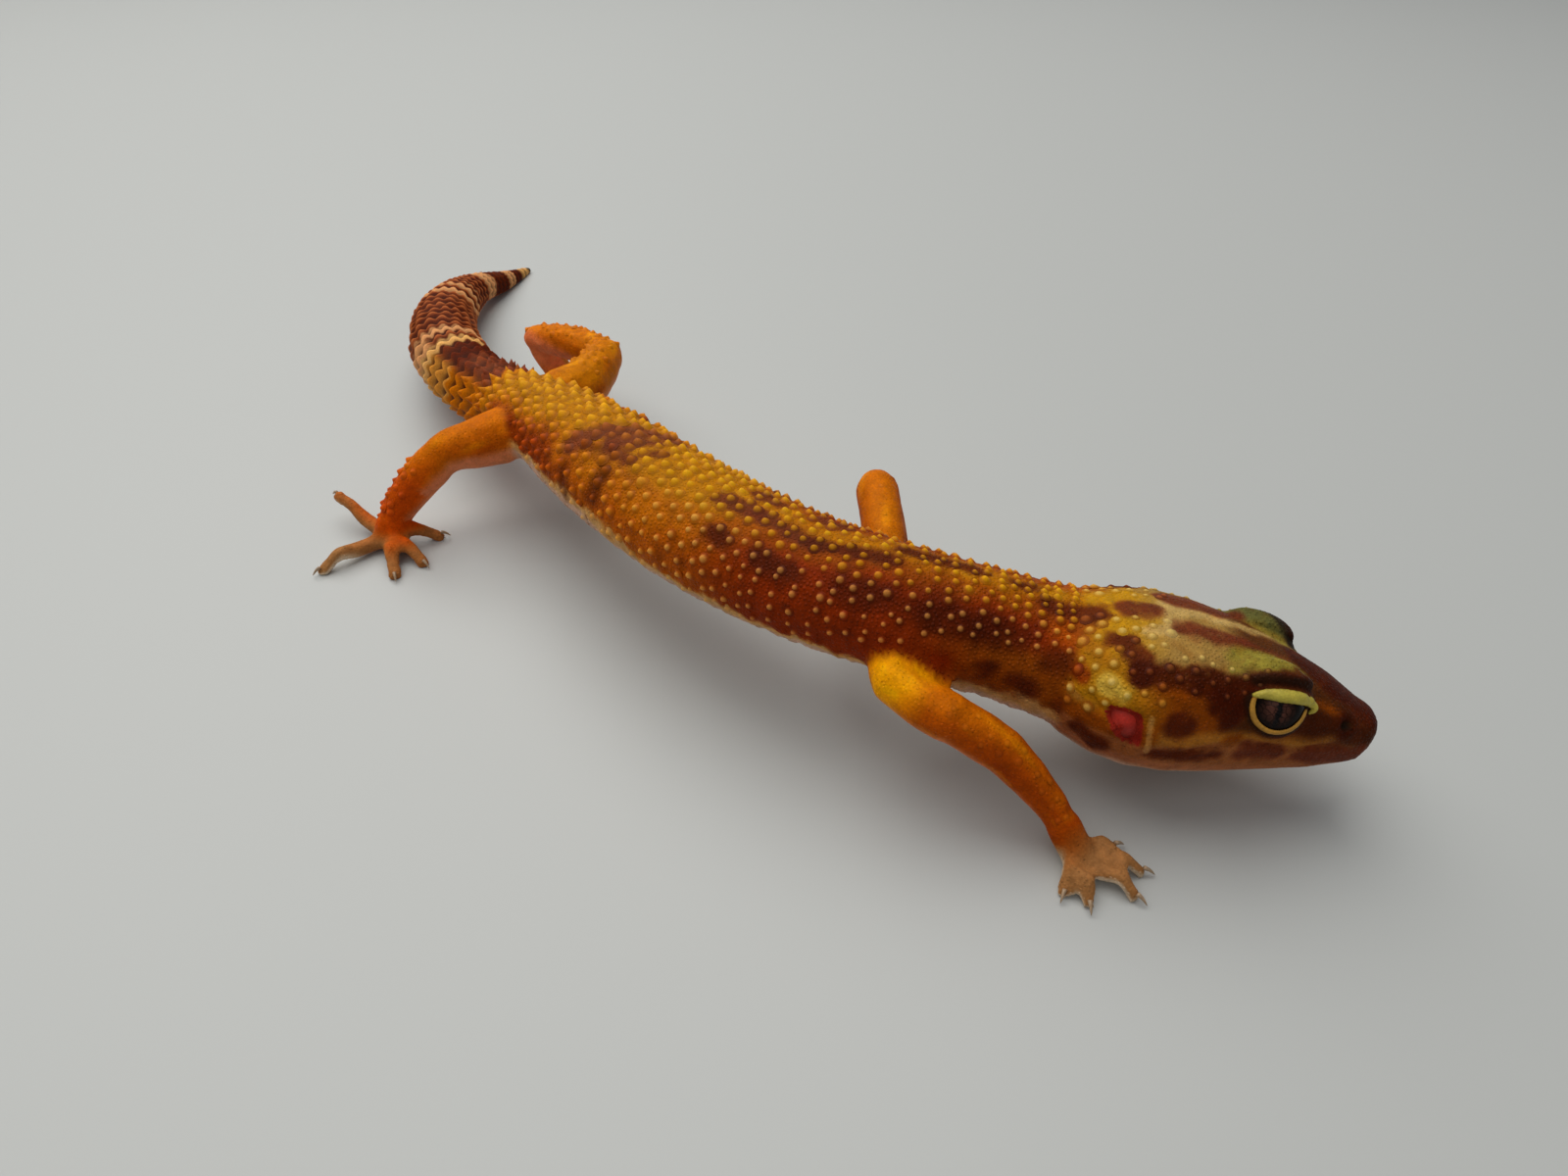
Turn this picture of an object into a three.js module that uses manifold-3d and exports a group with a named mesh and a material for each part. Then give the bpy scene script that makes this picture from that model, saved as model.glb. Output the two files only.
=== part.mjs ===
// A leopard gecko in mid-stride, as a life-size still model.
// Millimetres, +Z up, head towards -Y, tail towards +Y, the animal's left side towards +X.
// The origin is on the floor, under the middle of the model's bounding box.
import * as THREE from "three";
import { mergeVertices } from "three/addons/utils/BufferGeometryUtils.js";
import Module from "manifold-3d";

const wasm = await Module();
wasm.setup();

// ---- Driving dimensions ----

const GAP = 0.3; // parting cut between neighbouring pieces
const SCALES = 0.25; // how far the scales of the back stand above the girths below
const UP = new THREE.Vector3(0, 0, 1);
const CENTRE = { x: -0.16, y: -0.12 }; // moves the box of the whole animal over the origin

// The body's centre line and girth, from the head to the tip of the tail:
// name, x, y, z, half width, rise above the line, drop below it.
const BODY = [
  ["crown", 10.7, -67.8, 12.3, 8.6, 6, 7.4],
  ["nape", 7.8, -63.3, 12.8, 8.1, 6.1, 7],
  ["throat", 4, -57.5, 13.9, 7, 6.1, 6.6],
  ["shoulders", -2.3, -48.7, 15.7, 7.3, 6.4, 6.4],
  ["chest", -5.4, -38.7, 15.6, 7.6, 6.3, 6.4],
  ["belly", -7.5, -23.9, 15.4, 8, 6.7, 6.7],
  ["flank", -7, -5.9, 15, 7.8, 6.5, 6.6],
  ["hips", -5, 11.1, 13.4, 6.4, 5.7, 5.8],
  ["vent", -4.4, 24.1, 11.2, 5.2, 5, 5],
  ["tail_root", -3.6, 34.5, 10, 5.1, 4.8, 4.8],
  ["tail_swell", 0.2, 50.1, 8.6, 5.4, 4.6, 4.6],
  ["tail_middle", 9, 66.5, 6.8, 4.7, 4.3, 4.3],
  ["tail_slender", 20.9, 78.7, 4.1, 3, 2.8, 2.8],
  ["tail_end", 30.8, 84.5, 1.5, 1.7, 1.6, 1.6],
  ["tail_tip", 38.2, 88.3, 0.45, 0.5, 0.5, 0.5],
];
const BODY_AROUND = 20; // facets round the body
const RING_STEP = 4; // length of one ring of facets along the body

// Lengths that the body is divided into, as stations between which each one runs.
const BODY_PIECES = [
  ["neck", "nape", "shoulders"],
  ["chest", "shoulders", "belly"],
  ["belly", "belly", "hips"],
  ["pelvis", "hips", "tail_root"],
  ["tail_1", "tail_root", "tail_swell"],
  ["tail_2", "tail_swell", "tail_middle"],
  ["tail_3", "tail_middle", "tail_slender"],
  ["tail_4", "tail_slender", "tail_tip"],
];

// The head, in its own frame: x forward from the nape, y to the left, z up.
const HEAD_LENGTH = 29.7;
const HEAD_BEARING = -57; // the way the snout points, anticlockwise from +X, in degrees
const HEAD_NOD = 6; // tilt of the snout below level, in degrees
const HEAD_ROLL = -11; // lean of the head towards its left, in degrees
const SNOUT_DOME = 1.6; // length of the rounded tip of the snout
// Distance from the nape as a share of the head's length, half width, rise and drop.
const SKULL = [
  [0, 8.5, 6.1, 7.5],
  [0.125, 10.3, 6.9, 8.5],
  [0.25, 10.9, 7.3, 8.9],
  [0.375, 10.3, 7.4, 8.8],
  [0.5, 9, 7.1, 8.3],
  [0.625, 7.5, 6.4, 7.6],
  [0.75, 6.1, 5.3, 6.8],
  [0.875, 4.8, 4, 5.9],
  [1, 3.3, 2.1, 4.6],
];
const BROW = { x: 17.4, y: 5, z: 3.4, long: 4.7, wide: 2.8, high: 3.6 };
const EYE = { x: 18.2, y: 5.3, z: 2.4, radius: 3.1 };
const EAR = { x: 5, y: 10, z: -0.8, long: 1.5, deep: 1.4, high: 2 };
const EARDRUM = { share: 0.72, sunk: 0.35, flat: 0.8 }; // beside the size and place of the ear
const MOUTH = { corner: 9.5, rear: -2.6, front: -1.2 }; // the line where the lips meet

// Half thickness of a fore and a hind limb at each of its points, from the root inside the
// body to the middle of the foot.
const FORE = { root: 3.4, upper: 2.6, elbow: 2.7, lower: 2.4, wrist: 1.75, palm: 1.7 };
const HIND = { root: 5.2, upper: 3.9, elbow: 2.9, lower: 2.8, wrist: 2.3, palm: 2 };
const LIMB_AROUND = 12;

const DIGIT = { base: 1.1, tip: 0.75, around: 6, rings: 3 };
// A digit's line over the floor: share of its length, height, share of a lifted tip's height.
const DIGIT_LINE = [
  [0.1, 1.2, 0],
  [0.5, 1.3, 0.2],
  [0.8, 0.9, 0.6],
  [0.95, 0.52, 1],
];
const CLAW = { length: 1, base: 0.4, tip: 0.16, rise: 0.1, drop: 0.45 };

// Each limb: its points from root to palm ("elbow" and "wrist" are a hind limb's knee and
// ankle), then for each digit, inner to outer, its bearing in degrees, its length and, where
// it is off the floor, the height of its tip.
const LIMBS = [
  {
    name: "fore_r",
    size: FORE,
    points: {
      root: [-2.9, -47.4, 14.2],
      upper: [-8.8, -54.5, 13.3],
      elbow: [-7.6, -60.9, 12],
      lower: [-5, -65.8, 9.2],
      wrist: [-3.8, -71.5, 4.8],
      palm: [-3.8, -74.7, 1.35],
    },
    digits: [[-22, 4], [-56, 6], [-86, 6.2], [-132, 4.8], [-160, 4]],
  },
  {
    name: "fore_l",
    size: FORE,
    points: {
      root: [-2.9, -46.7, 14.2],
      upper: [5.4, -39.7, 15.8],
      elbow: [11, -33.3, 16.8],
      lower: [12, -34.7, 10.5],
      wrist: [12.4, -36.9, 4.6],
      palm: [13, -39.5, 1.35],
    },
    digits: [[-150, 4], [-112, 5.4], [-78, 6.2], [-42, 5.8], [-2, 4.4]],
  },
  {
    name: "hind_r",
    size: HIND,
    points: {
      root: [-4.4, 15.6, 12.5],
      upper: [-11.4, 14.5, 12.5],
      elbow: [-18, 16.5, 12.2],
      lower: [-22, 18.1, 8.6],
      wrist: [-25.4, 19.7, 4.4],
      palm: [-27.1, 19.6, 1.6],
    },
    digits: [[-32, 6.4], [-85, 7.6], [-114, 8.2], [180, 9.9], [100, 10.8, 3]],
  },
  {
    name: "hind_l",
    size: HIND,
    points: {
      root: [-4.4, 16.6, 12.5],
      upper: [5.2, 18.7, 12.6],
      elbow: [12.6, 23.7, 13],
      lower: [12.6, 32.5, 12],
      wrist: [11.8, 41.7, 10],
      palm: [14.2, 36.9, 1.6],
    },
    digits: [[-170, 5], [-140, 6.6], [-112, 7.6], [-80, 8], [10, 6.6]],
  },
];

// ---- Finishes ----

const finish = (color, roughness = 0.6) =>
  new THREE.MeshStandardMaterial({ color, roughness, metalness: 0 });
const FINISHES = {
  head: finish(0x8a5a2a),
  body: finish(0xc98a1e),
  tail: finish(0x8b5a48),
  limb: finish(0xd9780f),
  eye: finish(0x4a4750, 0.1),
  ear: finish(0x8c3a34, 0.5),
  claw: finish(0x9a7a5a, 0.4),
};

// ---- Shapes ----

const vector = ([x, y, z]) => new THREE.Vector3(x, y, z);
const curve = (points) => new THREE.CatmullRomCurve3(points.map(vector), false, "centripetal");

// A closed mesh as a solid that can be joined and cut.
function solid(geometry) {
  const bare = new THREE.BufferGeometry()
    .setAttribute("position", geometry.getAttribute("position"))
    .setIndex(geometry.index);
  const merged = mergeVertices(bare, 1e-4);
  return new wasm.Manifold(
    new wasm.Mesh({
      numProp: 3,
      vertProperties: merged.attributes.position.array,
      triVerts: new Uint32Array(merged.index.array),
    }),
  );
}

// The unit outline that a form is turned from: along y from 0 to 1, with a dome past a round end.
function outline(rings, endRound, domeSteps) {
  const points = [new THREE.Vector2(0, 0)];
  for (let i = 0; i <= rings; i++) points.push(new THREE.Vector2(1, i / rings));
  for (let i = domeSteps - 1; endRound && i >= 0; i--) {
    const a = (Math.PI / 2) * (1 - i / domeSteps);
    points.push(new THREE.Vector2(Math.cos(a), 1 + Math.sin(a)));
  }
  if (!endRound) points.push(new THREE.Vector2(0, 1));
  points[points.length - 1].x = 0;
  return points;
}

// A solid along a path, whose girth (half width, rise, drop) changes on the way.
// square is the section's exponent: 2 is an ellipse, more is boxier.
function form({ path, girth, from = 0, to = 1, rings, around, endRound = false, ...more }) {
  const { swell = 0, square = 2, domeSteps = 3 } = more;
  const turned = new THREE.LatheGeometry(outline(rings, endRound, domeSteps), around);
  const place = turned.getAttribute("position");
  const round = (c) => Math.sign(c) * Math.abs(c) ** (2 / square);
  for (let i = 0; i < place.count; i++) {
    const [x, y, z] = [place.getX(i), place.getY(i), place.getZ(i)];
    const reach = Math.min(Math.hypot(x, z), 1);
    const [c, s] = reach > 1e-6 ? [x / reach, z / reach] : [0, 0];
    const t = from + (to - from) * THREE.MathUtils.clamp(y, 0, 1);
    const size = girth.getPoint(t).addScalar(swell);
    const ahead = path.getTangent(t);
    const side = ahead.clone().cross(UP).normalize();
    const above = side.clone().cross(ahead);
    const past = Math.max(y - 1, 0) * size.y;
    const point = path
      .getPoint(t)
      .addScaledVector(ahead, past)
      .addScaledVector(side, round(c) * reach * size.x)
      .addScaledVector(above, round(s) * reach * (s > 0 ? size.y : size.z));
    place.setXYZ(i, point.x, point.y, point.z);
  }
  return solid(turned);
}

function ball(x, y, z, long, wide, high, around = 14) {
  const shape = new THREE.SphereGeometry(1, around, around / 2);
  return solid(shape.rotateX(Math.PI / 2).scale(long, wide, high).translate(x, y, z));
}

function slab(x0, x1, y0, y1, z0, z1) {
  const shape = new THREE.BoxGeometry(x1 - x0, y1 - y0, z1 - z0);
  return solid(shape.translate((x0 + x1) / 2, (y0 + y1) / 2, (z0 + z1) / 2));
}

const underFloor = slab(-120, 120, -160, 160, -30, 0);

function meshOf(name, made, material) {
  const { vertProperties, triVerts, numProp } = made.getMesh();
  const places = new Float32Array((vertProperties.length / numProp) * 3);
  for (let i = 0; i < places.length / 3; i++)
    places.set(vertProperties.subarray(i * numProp, i * numProp + 3), i * 3);
  const geometry = new THREE.BufferGeometry()
    .setAttribute("position", new THREE.BufferAttribute(places, 3))
    .setIndex(new THREE.BufferAttribute(triVerts, 1));
  geometry.computeVertexNormals();
  const mesh = new THREE.Mesh(geometry, material);
  mesh.name = name;
  return mesh;
}

// ---- The body, from neck to tail ----

// Where the head starts and which way it points.
function headPose() {
  const [turn, level] = [HEAD_BEARING, 90 + HEAD_NOD].map(THREE.MathUtils.degToRad);
  const ahead = new THREE.Vector3().setFromSphericalCoords(1, level, 0);
  ahead.set(ahead.z * Math.cos(turn), ahead.z * Math.sin(turn), ahead.y);
  return { ahead, start: bodyPath.getPoint(station("nape")) };
}

const bodyPath = curve(BODY.map(([, x, y, z]) => [x, y, z]));
const bodyGirth = curve(BODY.map(([, , , , half, rise, drop]) => [half, rise, drop]));
const station = (name) => BODY.findIndex(([n]) => n === name) / (BODY.length - 1);

// How far the curve's own parameter moves in half a gap.
function halfGapAt(path, t) {
  const step = 1e-3;
  const [a, b] = [Math.max(t - step, 0), Math.min(t + step, 1)];
  return ((GAP / 2) * (b - a)) / path.getPoint(a).distanceTo(path.getPoint(b));
}

function bodyLength(first, last, swell = 0) {
  const [a, b] = [station(first), station(last)];
  const tip = last === "tail_tip";
  const steps = 40;
  let length = 0;
  for (let i = 0; i < steps; i++) {
    const [p, q] = [i / steps, (i + 1) / steps].map((s) => bodyPath.getPoint(a + (b - a) * s));
    length += p.distanceTo(q);
  }
  return form({
    path: bodyPath,
    girth: bodyGirth,
    from: first === "nape" ? a / 2 : a + halfGapAt(bodyPath, a),
    to: tip ? 1 : b - halfGapAt(bodyPath, b),
    rings: Math.round(length / RING_STEP),
    around: BODY_AROUND,
    endRound: tip,
    swell: SCALES + swell,
  });
}

function makeBody() {
  const group = new THREE.Group();
  const { ahead, start } = headPose();
  const back = ahead.clone().negate();
  for (const [name, first, last] of BODY_PIECES) {
    let made = bodyLength(first, last).subtract(underFloor);
    if (name === "neck") made = made.trimByPlane(back.toArray(), back.dot(start) + GAP);
    group.add(meshOf(name, made, name.startsWith("tail") ? FINISHES.tail : FINISHES.body));
  }
  return group;
}

// ---- The head ----

function skullForm() {
  return form({
    path: new THREE.LineCurve3(vector([0, 0, 0]), vector([HEAD_LENGTH - SNOUT_DOME, 0, 0])),
    girth: curve(SKULL.map(([, half, rise, drop]) => [half, rise, drop])),
    rings: SKULL.length - 1,
    around: 22,
    endRound: true,
    square: 2.25,
  });
}

// The block that holds the lower jaw: below the line of the lips and ahead of the jaw's hinge.
function jawBlock(grow) {
  const side = new THREE.Shape();
  const [below, beyond, across] = [-20, HEAD_LENGTH * 1.2, 30];
  side.moveTo(MOUTH.corner - grow, below);
  side.lineTo(MOUTH.corner - grow, MOUTH.rear + grow);
  side.quadraticCurveTo(beyond / 2, MOUTH.rear + grow, beyond, MOUTH.front + grow);
  side.lineTo(beyond, below);
  const block = new THREE.ExtrudeGeometry(side, { depth: across, bevelEnabled: false, curveSegments: 6 });
  return solid(block.rotateX(Math.PI / 2).translate(0, across / 2, 0));
}

function makeHead() {
  const group = new THREE.Group();
  let flesh = skullForm();
  for (const side of [-1, 1])
    flesh = flesh.add(ball(BROW.x, side * BROW.y, BROW.z, BROW.long, BROW.wide, BROW.high));
  for (const side of [-1, 1]) {
    const socket = EYE.radius + GAP;
    flesh = flesh.subtract(ball(EYE.x, side * EYE.y, EYE.z, socket, socket, socket));
    flesh = flesh.subtract(ball(EAR.x, side * EAR.y, EAR.z, EAR.long, EAR.deep, EAR.high, 12));
    const letter = side > 0 ? "l" : "r";
    const eye = ball(EYE.x, side * EYE.y, EYE.z, EYE.radius, EYE.radius, EYE.radius);
    group.add(meshOf(`eye_${letter}`, eye, FINISHES.eye));
    const [long, deep, high] = [EAR.long, EAR.deep * EARDRUM.flat, EAR.high].map((d) => d * EARDRUM.share);
    const drum = ball(EAR.x, side * (EAR.y - EARDRUM.sunk), EAR.z, long, deep, high, 10);
    group.add(meshOf(`ear_${letter}`, drum, FINISHES.ear));
  }
  group.add(meshOf("head", flesh.subtract(jawBlock(GAP)), FINISHES.head));
  group.add(meshOf("lower_jaw", flesh.intersect(jawBlock(0)), FINISHES.head));

  const { ahead, start } = headPose();
  const roll = THREE.MathUtils.degToRad(HEAD_ROLL);
  group.rotation.set(roll, -Math.asin(ahead.z), Math.atan2(ahead.y, ahead.x), "ZYX");
  group.position.copy(start);
  return group;
}

// ---- Limbs ----

function digitPath(centre, [bearing, length, lift = 0]) {
  const turn = THREE.MathUtils.degToRad(bearing);
  const at = ([share, height, part]) => {
    const reach = share * length;
    return [centre.x + Math.cos(turn) * reach, centre.y + Math.sin(turn) * reach, height + lift * part];
  };
  return curve(DIGIT_LINE.map(at));
}

const evenGirth = (...sizes) => curve(sizes.map((r) => [r, r, r]));

function digitForm(path) {
  return form({
    path,
    girth: evenGirth(DIGIT.base, DIGIT.base * 0.92, DIGIT.tip, DIGIT.tip),
    rings: DIGIT.rings,
    around: DIGIT.around,
    endRound: true,
    domeSteps: 2,
  });
}

function clawForm(path) {
  const ahead = path.getTangent(1).setZ(0).normalize();
  const base = path.getPoint(1).addScaledVector(ahead, DIGIT.tip + GAP);
  base.z += CLAW.rise;
  const at = (share, drop) => base.clone().addScaledVector(ahead, share * CLAW.length).setZ(base.z - drop);
  return form({
    path: new THREE.CatmullRomCurve3([base, at(0.5, CLAW.drop * 0.1), at(0.95, CLAW.drop)]),
    girth: evenGirth(CLAW.base, CLAW.base * 0.75, CLAW.tip),
    rings: 2,
    around: 5,
    endRound: true,
    domeSteps: 1,
  });
}

// One length of a limb, running through the points named.
function limbForm({ points, size }, names, more = {}) {
  const path = curve(names.map((name) => points[name]));
  const girth = evenGirth(...names.map((name) => size[name]));
  return form({ path, girth, rings: 4, around: LIMB_AROUND, endRound: true, domeSteps: 2, ...more });
}

function makeLimb(limb, trunk) {
  const { name, digits, points } = limb;
  const group = new THREE.Group();
  const [thigh, shank] = [["root", "upper", "elbow"], ["elbow", "lower", "wrist"]];
  const upper = limbForm(limb, thigh).subtract(trunk);
  const clear = { swell: GAP, domeSteps: 4 }; // a rounder form than the length it makes room for
  const lower = limbForm(limb, shank).subtract(limbForm(limb, thigh, clear));
  let foot = limbForm(limb, ["wrist", "palm"], { rings: 3 });
  const centre = vector(points.palm);
  digits.forEach((way, i) => {
    const digit = digitPath(centre, way);
    const claw = clawForm(digit).subtract(underFloor);
    foot = foot.add(digitForm(digit));
    group.add(meshOf(`claw_${name}_${i + 1}`, claw, FINISHES.claw));
  });
  foot = foot.subtract(limbForm(limb, shank, clear)).subtract(underFloor);
  group.add(meshOf(`${name}_upper`, upper, FINISHES.limb));
  group.add(meshOf(`${name}_lower`, lower, FINISHES.limb));
  group.add(meshOf(`${name}_foot`, foot, FINISHES.limb));
  return group;
}

// ---- The whole animal ----

const gecko = new THREE.Group();
gecko.add(makeBody());
gecko.add(makeHead());
const trunk = bodyLength("nape", "tail_swell", GAP);
for (const limb of LIMBS) gecko.add(makeLimb(limb, trunk));

gecko.position.set(CENTRE.x, CENTRE.y, 0);

export default gecko;
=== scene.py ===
import math

import bpy
import numpy as np
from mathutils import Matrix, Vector
from mathutils.bvhtree import BVHTree


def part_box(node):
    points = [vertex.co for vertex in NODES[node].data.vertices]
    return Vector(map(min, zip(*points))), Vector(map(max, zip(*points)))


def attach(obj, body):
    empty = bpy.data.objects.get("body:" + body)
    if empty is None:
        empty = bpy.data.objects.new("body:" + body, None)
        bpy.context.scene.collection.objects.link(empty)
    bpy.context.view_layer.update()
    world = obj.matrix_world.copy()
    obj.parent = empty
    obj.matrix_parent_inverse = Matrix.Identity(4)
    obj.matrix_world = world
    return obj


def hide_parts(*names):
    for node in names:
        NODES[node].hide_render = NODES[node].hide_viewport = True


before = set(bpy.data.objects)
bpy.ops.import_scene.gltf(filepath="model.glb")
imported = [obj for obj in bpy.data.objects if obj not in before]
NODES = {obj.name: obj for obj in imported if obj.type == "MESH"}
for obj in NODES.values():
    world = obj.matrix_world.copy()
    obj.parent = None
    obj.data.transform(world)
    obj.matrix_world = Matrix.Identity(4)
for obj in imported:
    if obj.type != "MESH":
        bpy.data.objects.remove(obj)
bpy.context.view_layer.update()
MM = 0.001  # shapes are worked out in millimetres and written to the meshes in metres

# ---- What the model is made of ----

TRUNK = ["neck", "chest", "belly", "pelvis"]
TAIL = ["tail_1", "tail_2", "tail_3", "tail_4"]
LIMBS = ["fore_r", "fore_l", "hind_r", "hind_l"]
LIMB_PARTS = ["upper", "lower", "foot"]
FLESH = ["head", "lower_jaw"] + TRUNK + TAIL + [f"{limb}_{part}" for limb in LIMBS for part in LIMB_PARTS]
SIDES = {"r": -1, "l": 1}
TOES = range(1, 6)

SWELL = 0.22  # closes the parting cuts while the lengths are joined
WELD = 0.002  # corners this close are one
ORBIT = 0.2  # flesh round an eyeball
EAR_BED = 1.9  # radius of the ball of flesh behind an eardrum
VOXEL = 0.52  # the skin's mesh, before head and feet are made finer
TOE_DEPTH = {"fore": -0.02, "hind": -0.1}  # less than nothing, because smoothing thins the toes
COAT = {"trunk": 0.34, "head": 0.14, "limb": 0.12}  # depth of the scales over the skin
RELAX_STEPS = (0.5, -0.52)  # smooths, then swells back
FLOOR_GAP = 0.02  # claws and tail keep this far above the floor
HUB_GRID = 200  # places in the same 200th of a millimetre count as one
LEAN = 10  # how far the ridge of the back leans to the animal's left, in degrees


# ---- Reading the frame ----

def fetch(rows, attribute, width=3, kind=float):
    """An attribute of all of a mesh's vertices, edges or triangles."""
    values = np.empty(len(rows) * width, kind)
    rows.foreach_get(attribute, values)
    return values.reshape(-1, width)


def read(obj):
    return fetch(obj.data.vertices, "co") / MM


def normals(obj):
    return fetch(obj.data.vertex_normals, "vector")


def edges(obj):
    return fetch(obj.data.edges, "vertices", 2, int)


def facets(obj):
    obj.data.calc_loop_triangles()
    return fetch(obj.data.loop_triangles, "vertices", 3, int)


def places_of(node):
    return read(NODES[node])


def hubs(node, least=16):
    """The points of a node where many facets meet: the centres of its flat and domed ends."""
    keys, which = np.unique(np.round(places_of(node) * HUB_GRID).astype(int), axis=0, return_inverse=True)
    count = np.bincount(which.ravel()[facets(NODES[node]).ravel()], minlength=len(keys))
    return [keys[i] / HUB_GRID for i in np.flatnonzero(count >= least)]


def unit(v):
    return v / np.linalg.norm(v, axis=-1, keepdims=True)


def middle(node):
    low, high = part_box(node)
    return (np.array(low) + np.array(high)) / (2 * MM)


def meeting(a, b, reach=0.6):
    """The middle of the faces where node a meets its neighbour b."""
    pa, pb = places_of(a), places_of(b)
    near = np.linalg.norm(pa[:, None] - pb[None], axis=2).min(1) < reach
    return pa[near].mean(0)


def lengths_to(points):
    """How far along a run of points each of them is."""
    return np.concatenate([[0], np.cumsum(np.linalg.norm(np.diff(points, axis=0), axis=1))])


def between(at, stops, rows):
    """Rows of three numbers, read off at places between the stops."""
    return np.stack([np.interp(at, stops, rows[:, i]) for i in range(3)], axis=-1)


class Frame:
    """Axes of a part's own: places are measured along them and put back."""

    def measure(self, places):
        return (places - self.centre) @ self.axes.T

    def place(self, local):
        return np.asarray(local) @ self.axes + self.centre


class Head(Frame):
    """The head's own frame: x forward from the nape, y to the left, z up."""

    def __init__(self):
        ends = hubs("head", 18)
        eyes = middle("eye_l") - middle("eye_r")
        ends.sort(key=lambda p: np.linalg.norm(p - middle("neck")))
        self.centre, self.snout = ends[0], ends[-1]
        self.x = unit(self.snout - self.centre)
        self.y = unit(eyes - self.x * (eyes @ self.x))
        self.z = np.cross(self.x, self.y)
        self.axes = np.array([self.x, self.y, self.z])


class Line:
    """A centre line: tells how far along it a place is, at what angle round it and how far out."""

    STEP = 0.6

    def __init__(self, points, up=(0, 0, 1)):
        points = np.array(points)
        reach = lengths_to(points)
        count = int(reach[-1] / self.STEP)
        self.along = np.linspace(0, reach[-1], count)
        bent = between(self.along, reach, points)
        for _ in range(24):
            bent[1:-1] += 0.5 * ((bent[:-2] + bent[2:]) / 2 - bent[1:-1])
        self.points = bent
        self.ahead = unit(np.gradient(bent, axis=0))
        self.left = unit(np.cross(self.ahead, np.array(up)))
        self.above = np.cross(self.left, self.ahead)

    def measure(self, places):
        nearest = np.empty(len(places), int)
        for i in range(0, len(places), 20000):
            gap = places[i : i + 20000, None] - self.points[None]
            nearest[i : i + 20000] = (gap ** 2).sum(2).argmin(1)
        rest = places - self.points[nearest]
        ahead = (rest * self.ahead[nearest]).sum(1)
        left = (rest * self.left[nearest]).sum(1)
        above = (rest * self.above[nearest]).sum(1)
        angle = np.degrees(np.arctan2(left, above))
        return self.along[nearest] + ahead, angle, np.hypot(left, above)

    def at(self, along):
        """Centre, and the directions ahead, left and above, at a distance along the line."""
        return [between(along, self.along, row) for row in (self.points, self.ahead, self.left, self.above)]

    def rays(self, along, turn):
        """Rays that leave the line at distances along it and angles round it."""
        centre, _, left, above = self.at(along)
        return centre, np.cos(turn)[..., None] * above + np.sin(turn)[..., None] * left


HEAD = Head()


def spine():
    """The body's centre line, from the nape to the tip of the tail."""
    nodes = TRUNK + TAIL
    start = HEAD.centre
    points = [start]
    for node, after in zip(nodes, nodes[1:] + [None]):
        ends = hubs(node)
        if after:
            end = min(ends, key=lambda p: min(np.linalg.norm(p - q) for q in hubs(after)))
        else:
            end = max(ends, key=lambda p: np.linalg.norm(p - start))
        way = end - start
        here = places_of(node)
        share = (here - start) @ way / (way @ way)
        for k in (1 / 3, 2 / 3):
            ring = np.unique(np.round(here[np.abs(share - k) < 2.2 / np.linalg.norm(way)], 2), axis=0)
            points.append(ring.mean(0))
        points.append(end)
        start = end
    return Line(points)


SPINE = spine()


def limb_line(limb):
    upper, lower, foot = [f"{limb}_{part}" for part in LIMB_PARTS]
    trunk = "chest" if limb.startswith("fore") else "pelvis"
    if limb == "fore_r":
        trunk = "neck"
    points = [meeting(upper, trunk, 1.5), middle(upper), meeting(upper, lower), middle(lower)]
    points += [meeting(lower, foot), middle(foot) * [1, 1, 0.4]]
    return Line(points, up=(0.1, -1, 0.1))


LINES = {limb: limb_line(limb) for limb in LIMBS}


# ---- Working on meshes ----

def only(obj):
    bpy.ops.object.select_all(action="DESELECT")
    obj.select_set(True)
    bpy.context.view_layer.objects.active = obj


def add_object(name, data):
    obj = bpy.data.objects.new(name, data)
    bpy.context.scene.collection.objects.link(obj)
    return obj


def apply(obj, kind, **settings):
    only(obj)
    modifier = obj.modifiers.new(kind.title(), kind)
    for key, value in settings.items():
        setattr(modifier, key, value)
    bpy.ops.object.modifier_apply(modifier=modifier.name)


def write(obj, places):
    obj.data.vertices.foreach_set("co", (places * MM).ravel())
    obj.data.update()


def blur(values, pairs, rounds):
    """Spreads values over a mesh along its edges."""
    count = np.bincount(pairs.ravel(), minlength=len(values))
    for _ in range(rounds):
        total = np.bincount(pairs[:, 0], values[pairs[:, 1]], len(values))
        total += np.bincount(pairs[:, 1], values[pairs[:, 0]], len(values))
        values = (values + total / count) / 2
    return values


def relax(obj, rounds):
    """Smooths a mesh without shrinking it."""
    places, pairs = read(obj), edges(obj)
    count = np.bincount(pairs.ravel(), minlength=len(places))[:, None]
    for _ in range(rounds):
        for step in RELAX_STEPS:
            total = np.stack([
                np.bincount(pairs[:, 0], places[pairs[:, 1], i], len(places))
                + np.bincount(pairs[:, 1], places[pairs[:, 0], i], len(places))
                for i in range(3)
            ], axis=1)
            places = places + step * (total / count - places)
    write(obj, places)


def edit(obj, *steps):
    """Runs mesh operators, each with its settings, on the whole of an object."""
    only(obj)
    bpy.ops.object.mode_set(mode="EDIT")
    for operator, settings in steps:
        bpy.ops.mesh.select_all(action="SELECT")
        operator(**settings)
    bpy.ops.object.mode_set(mode="OBJECT")


def face_out(obj):
    edit(obj, (bpy.ops.mesh.normals_make_consistent, {"inside": False}))


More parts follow.
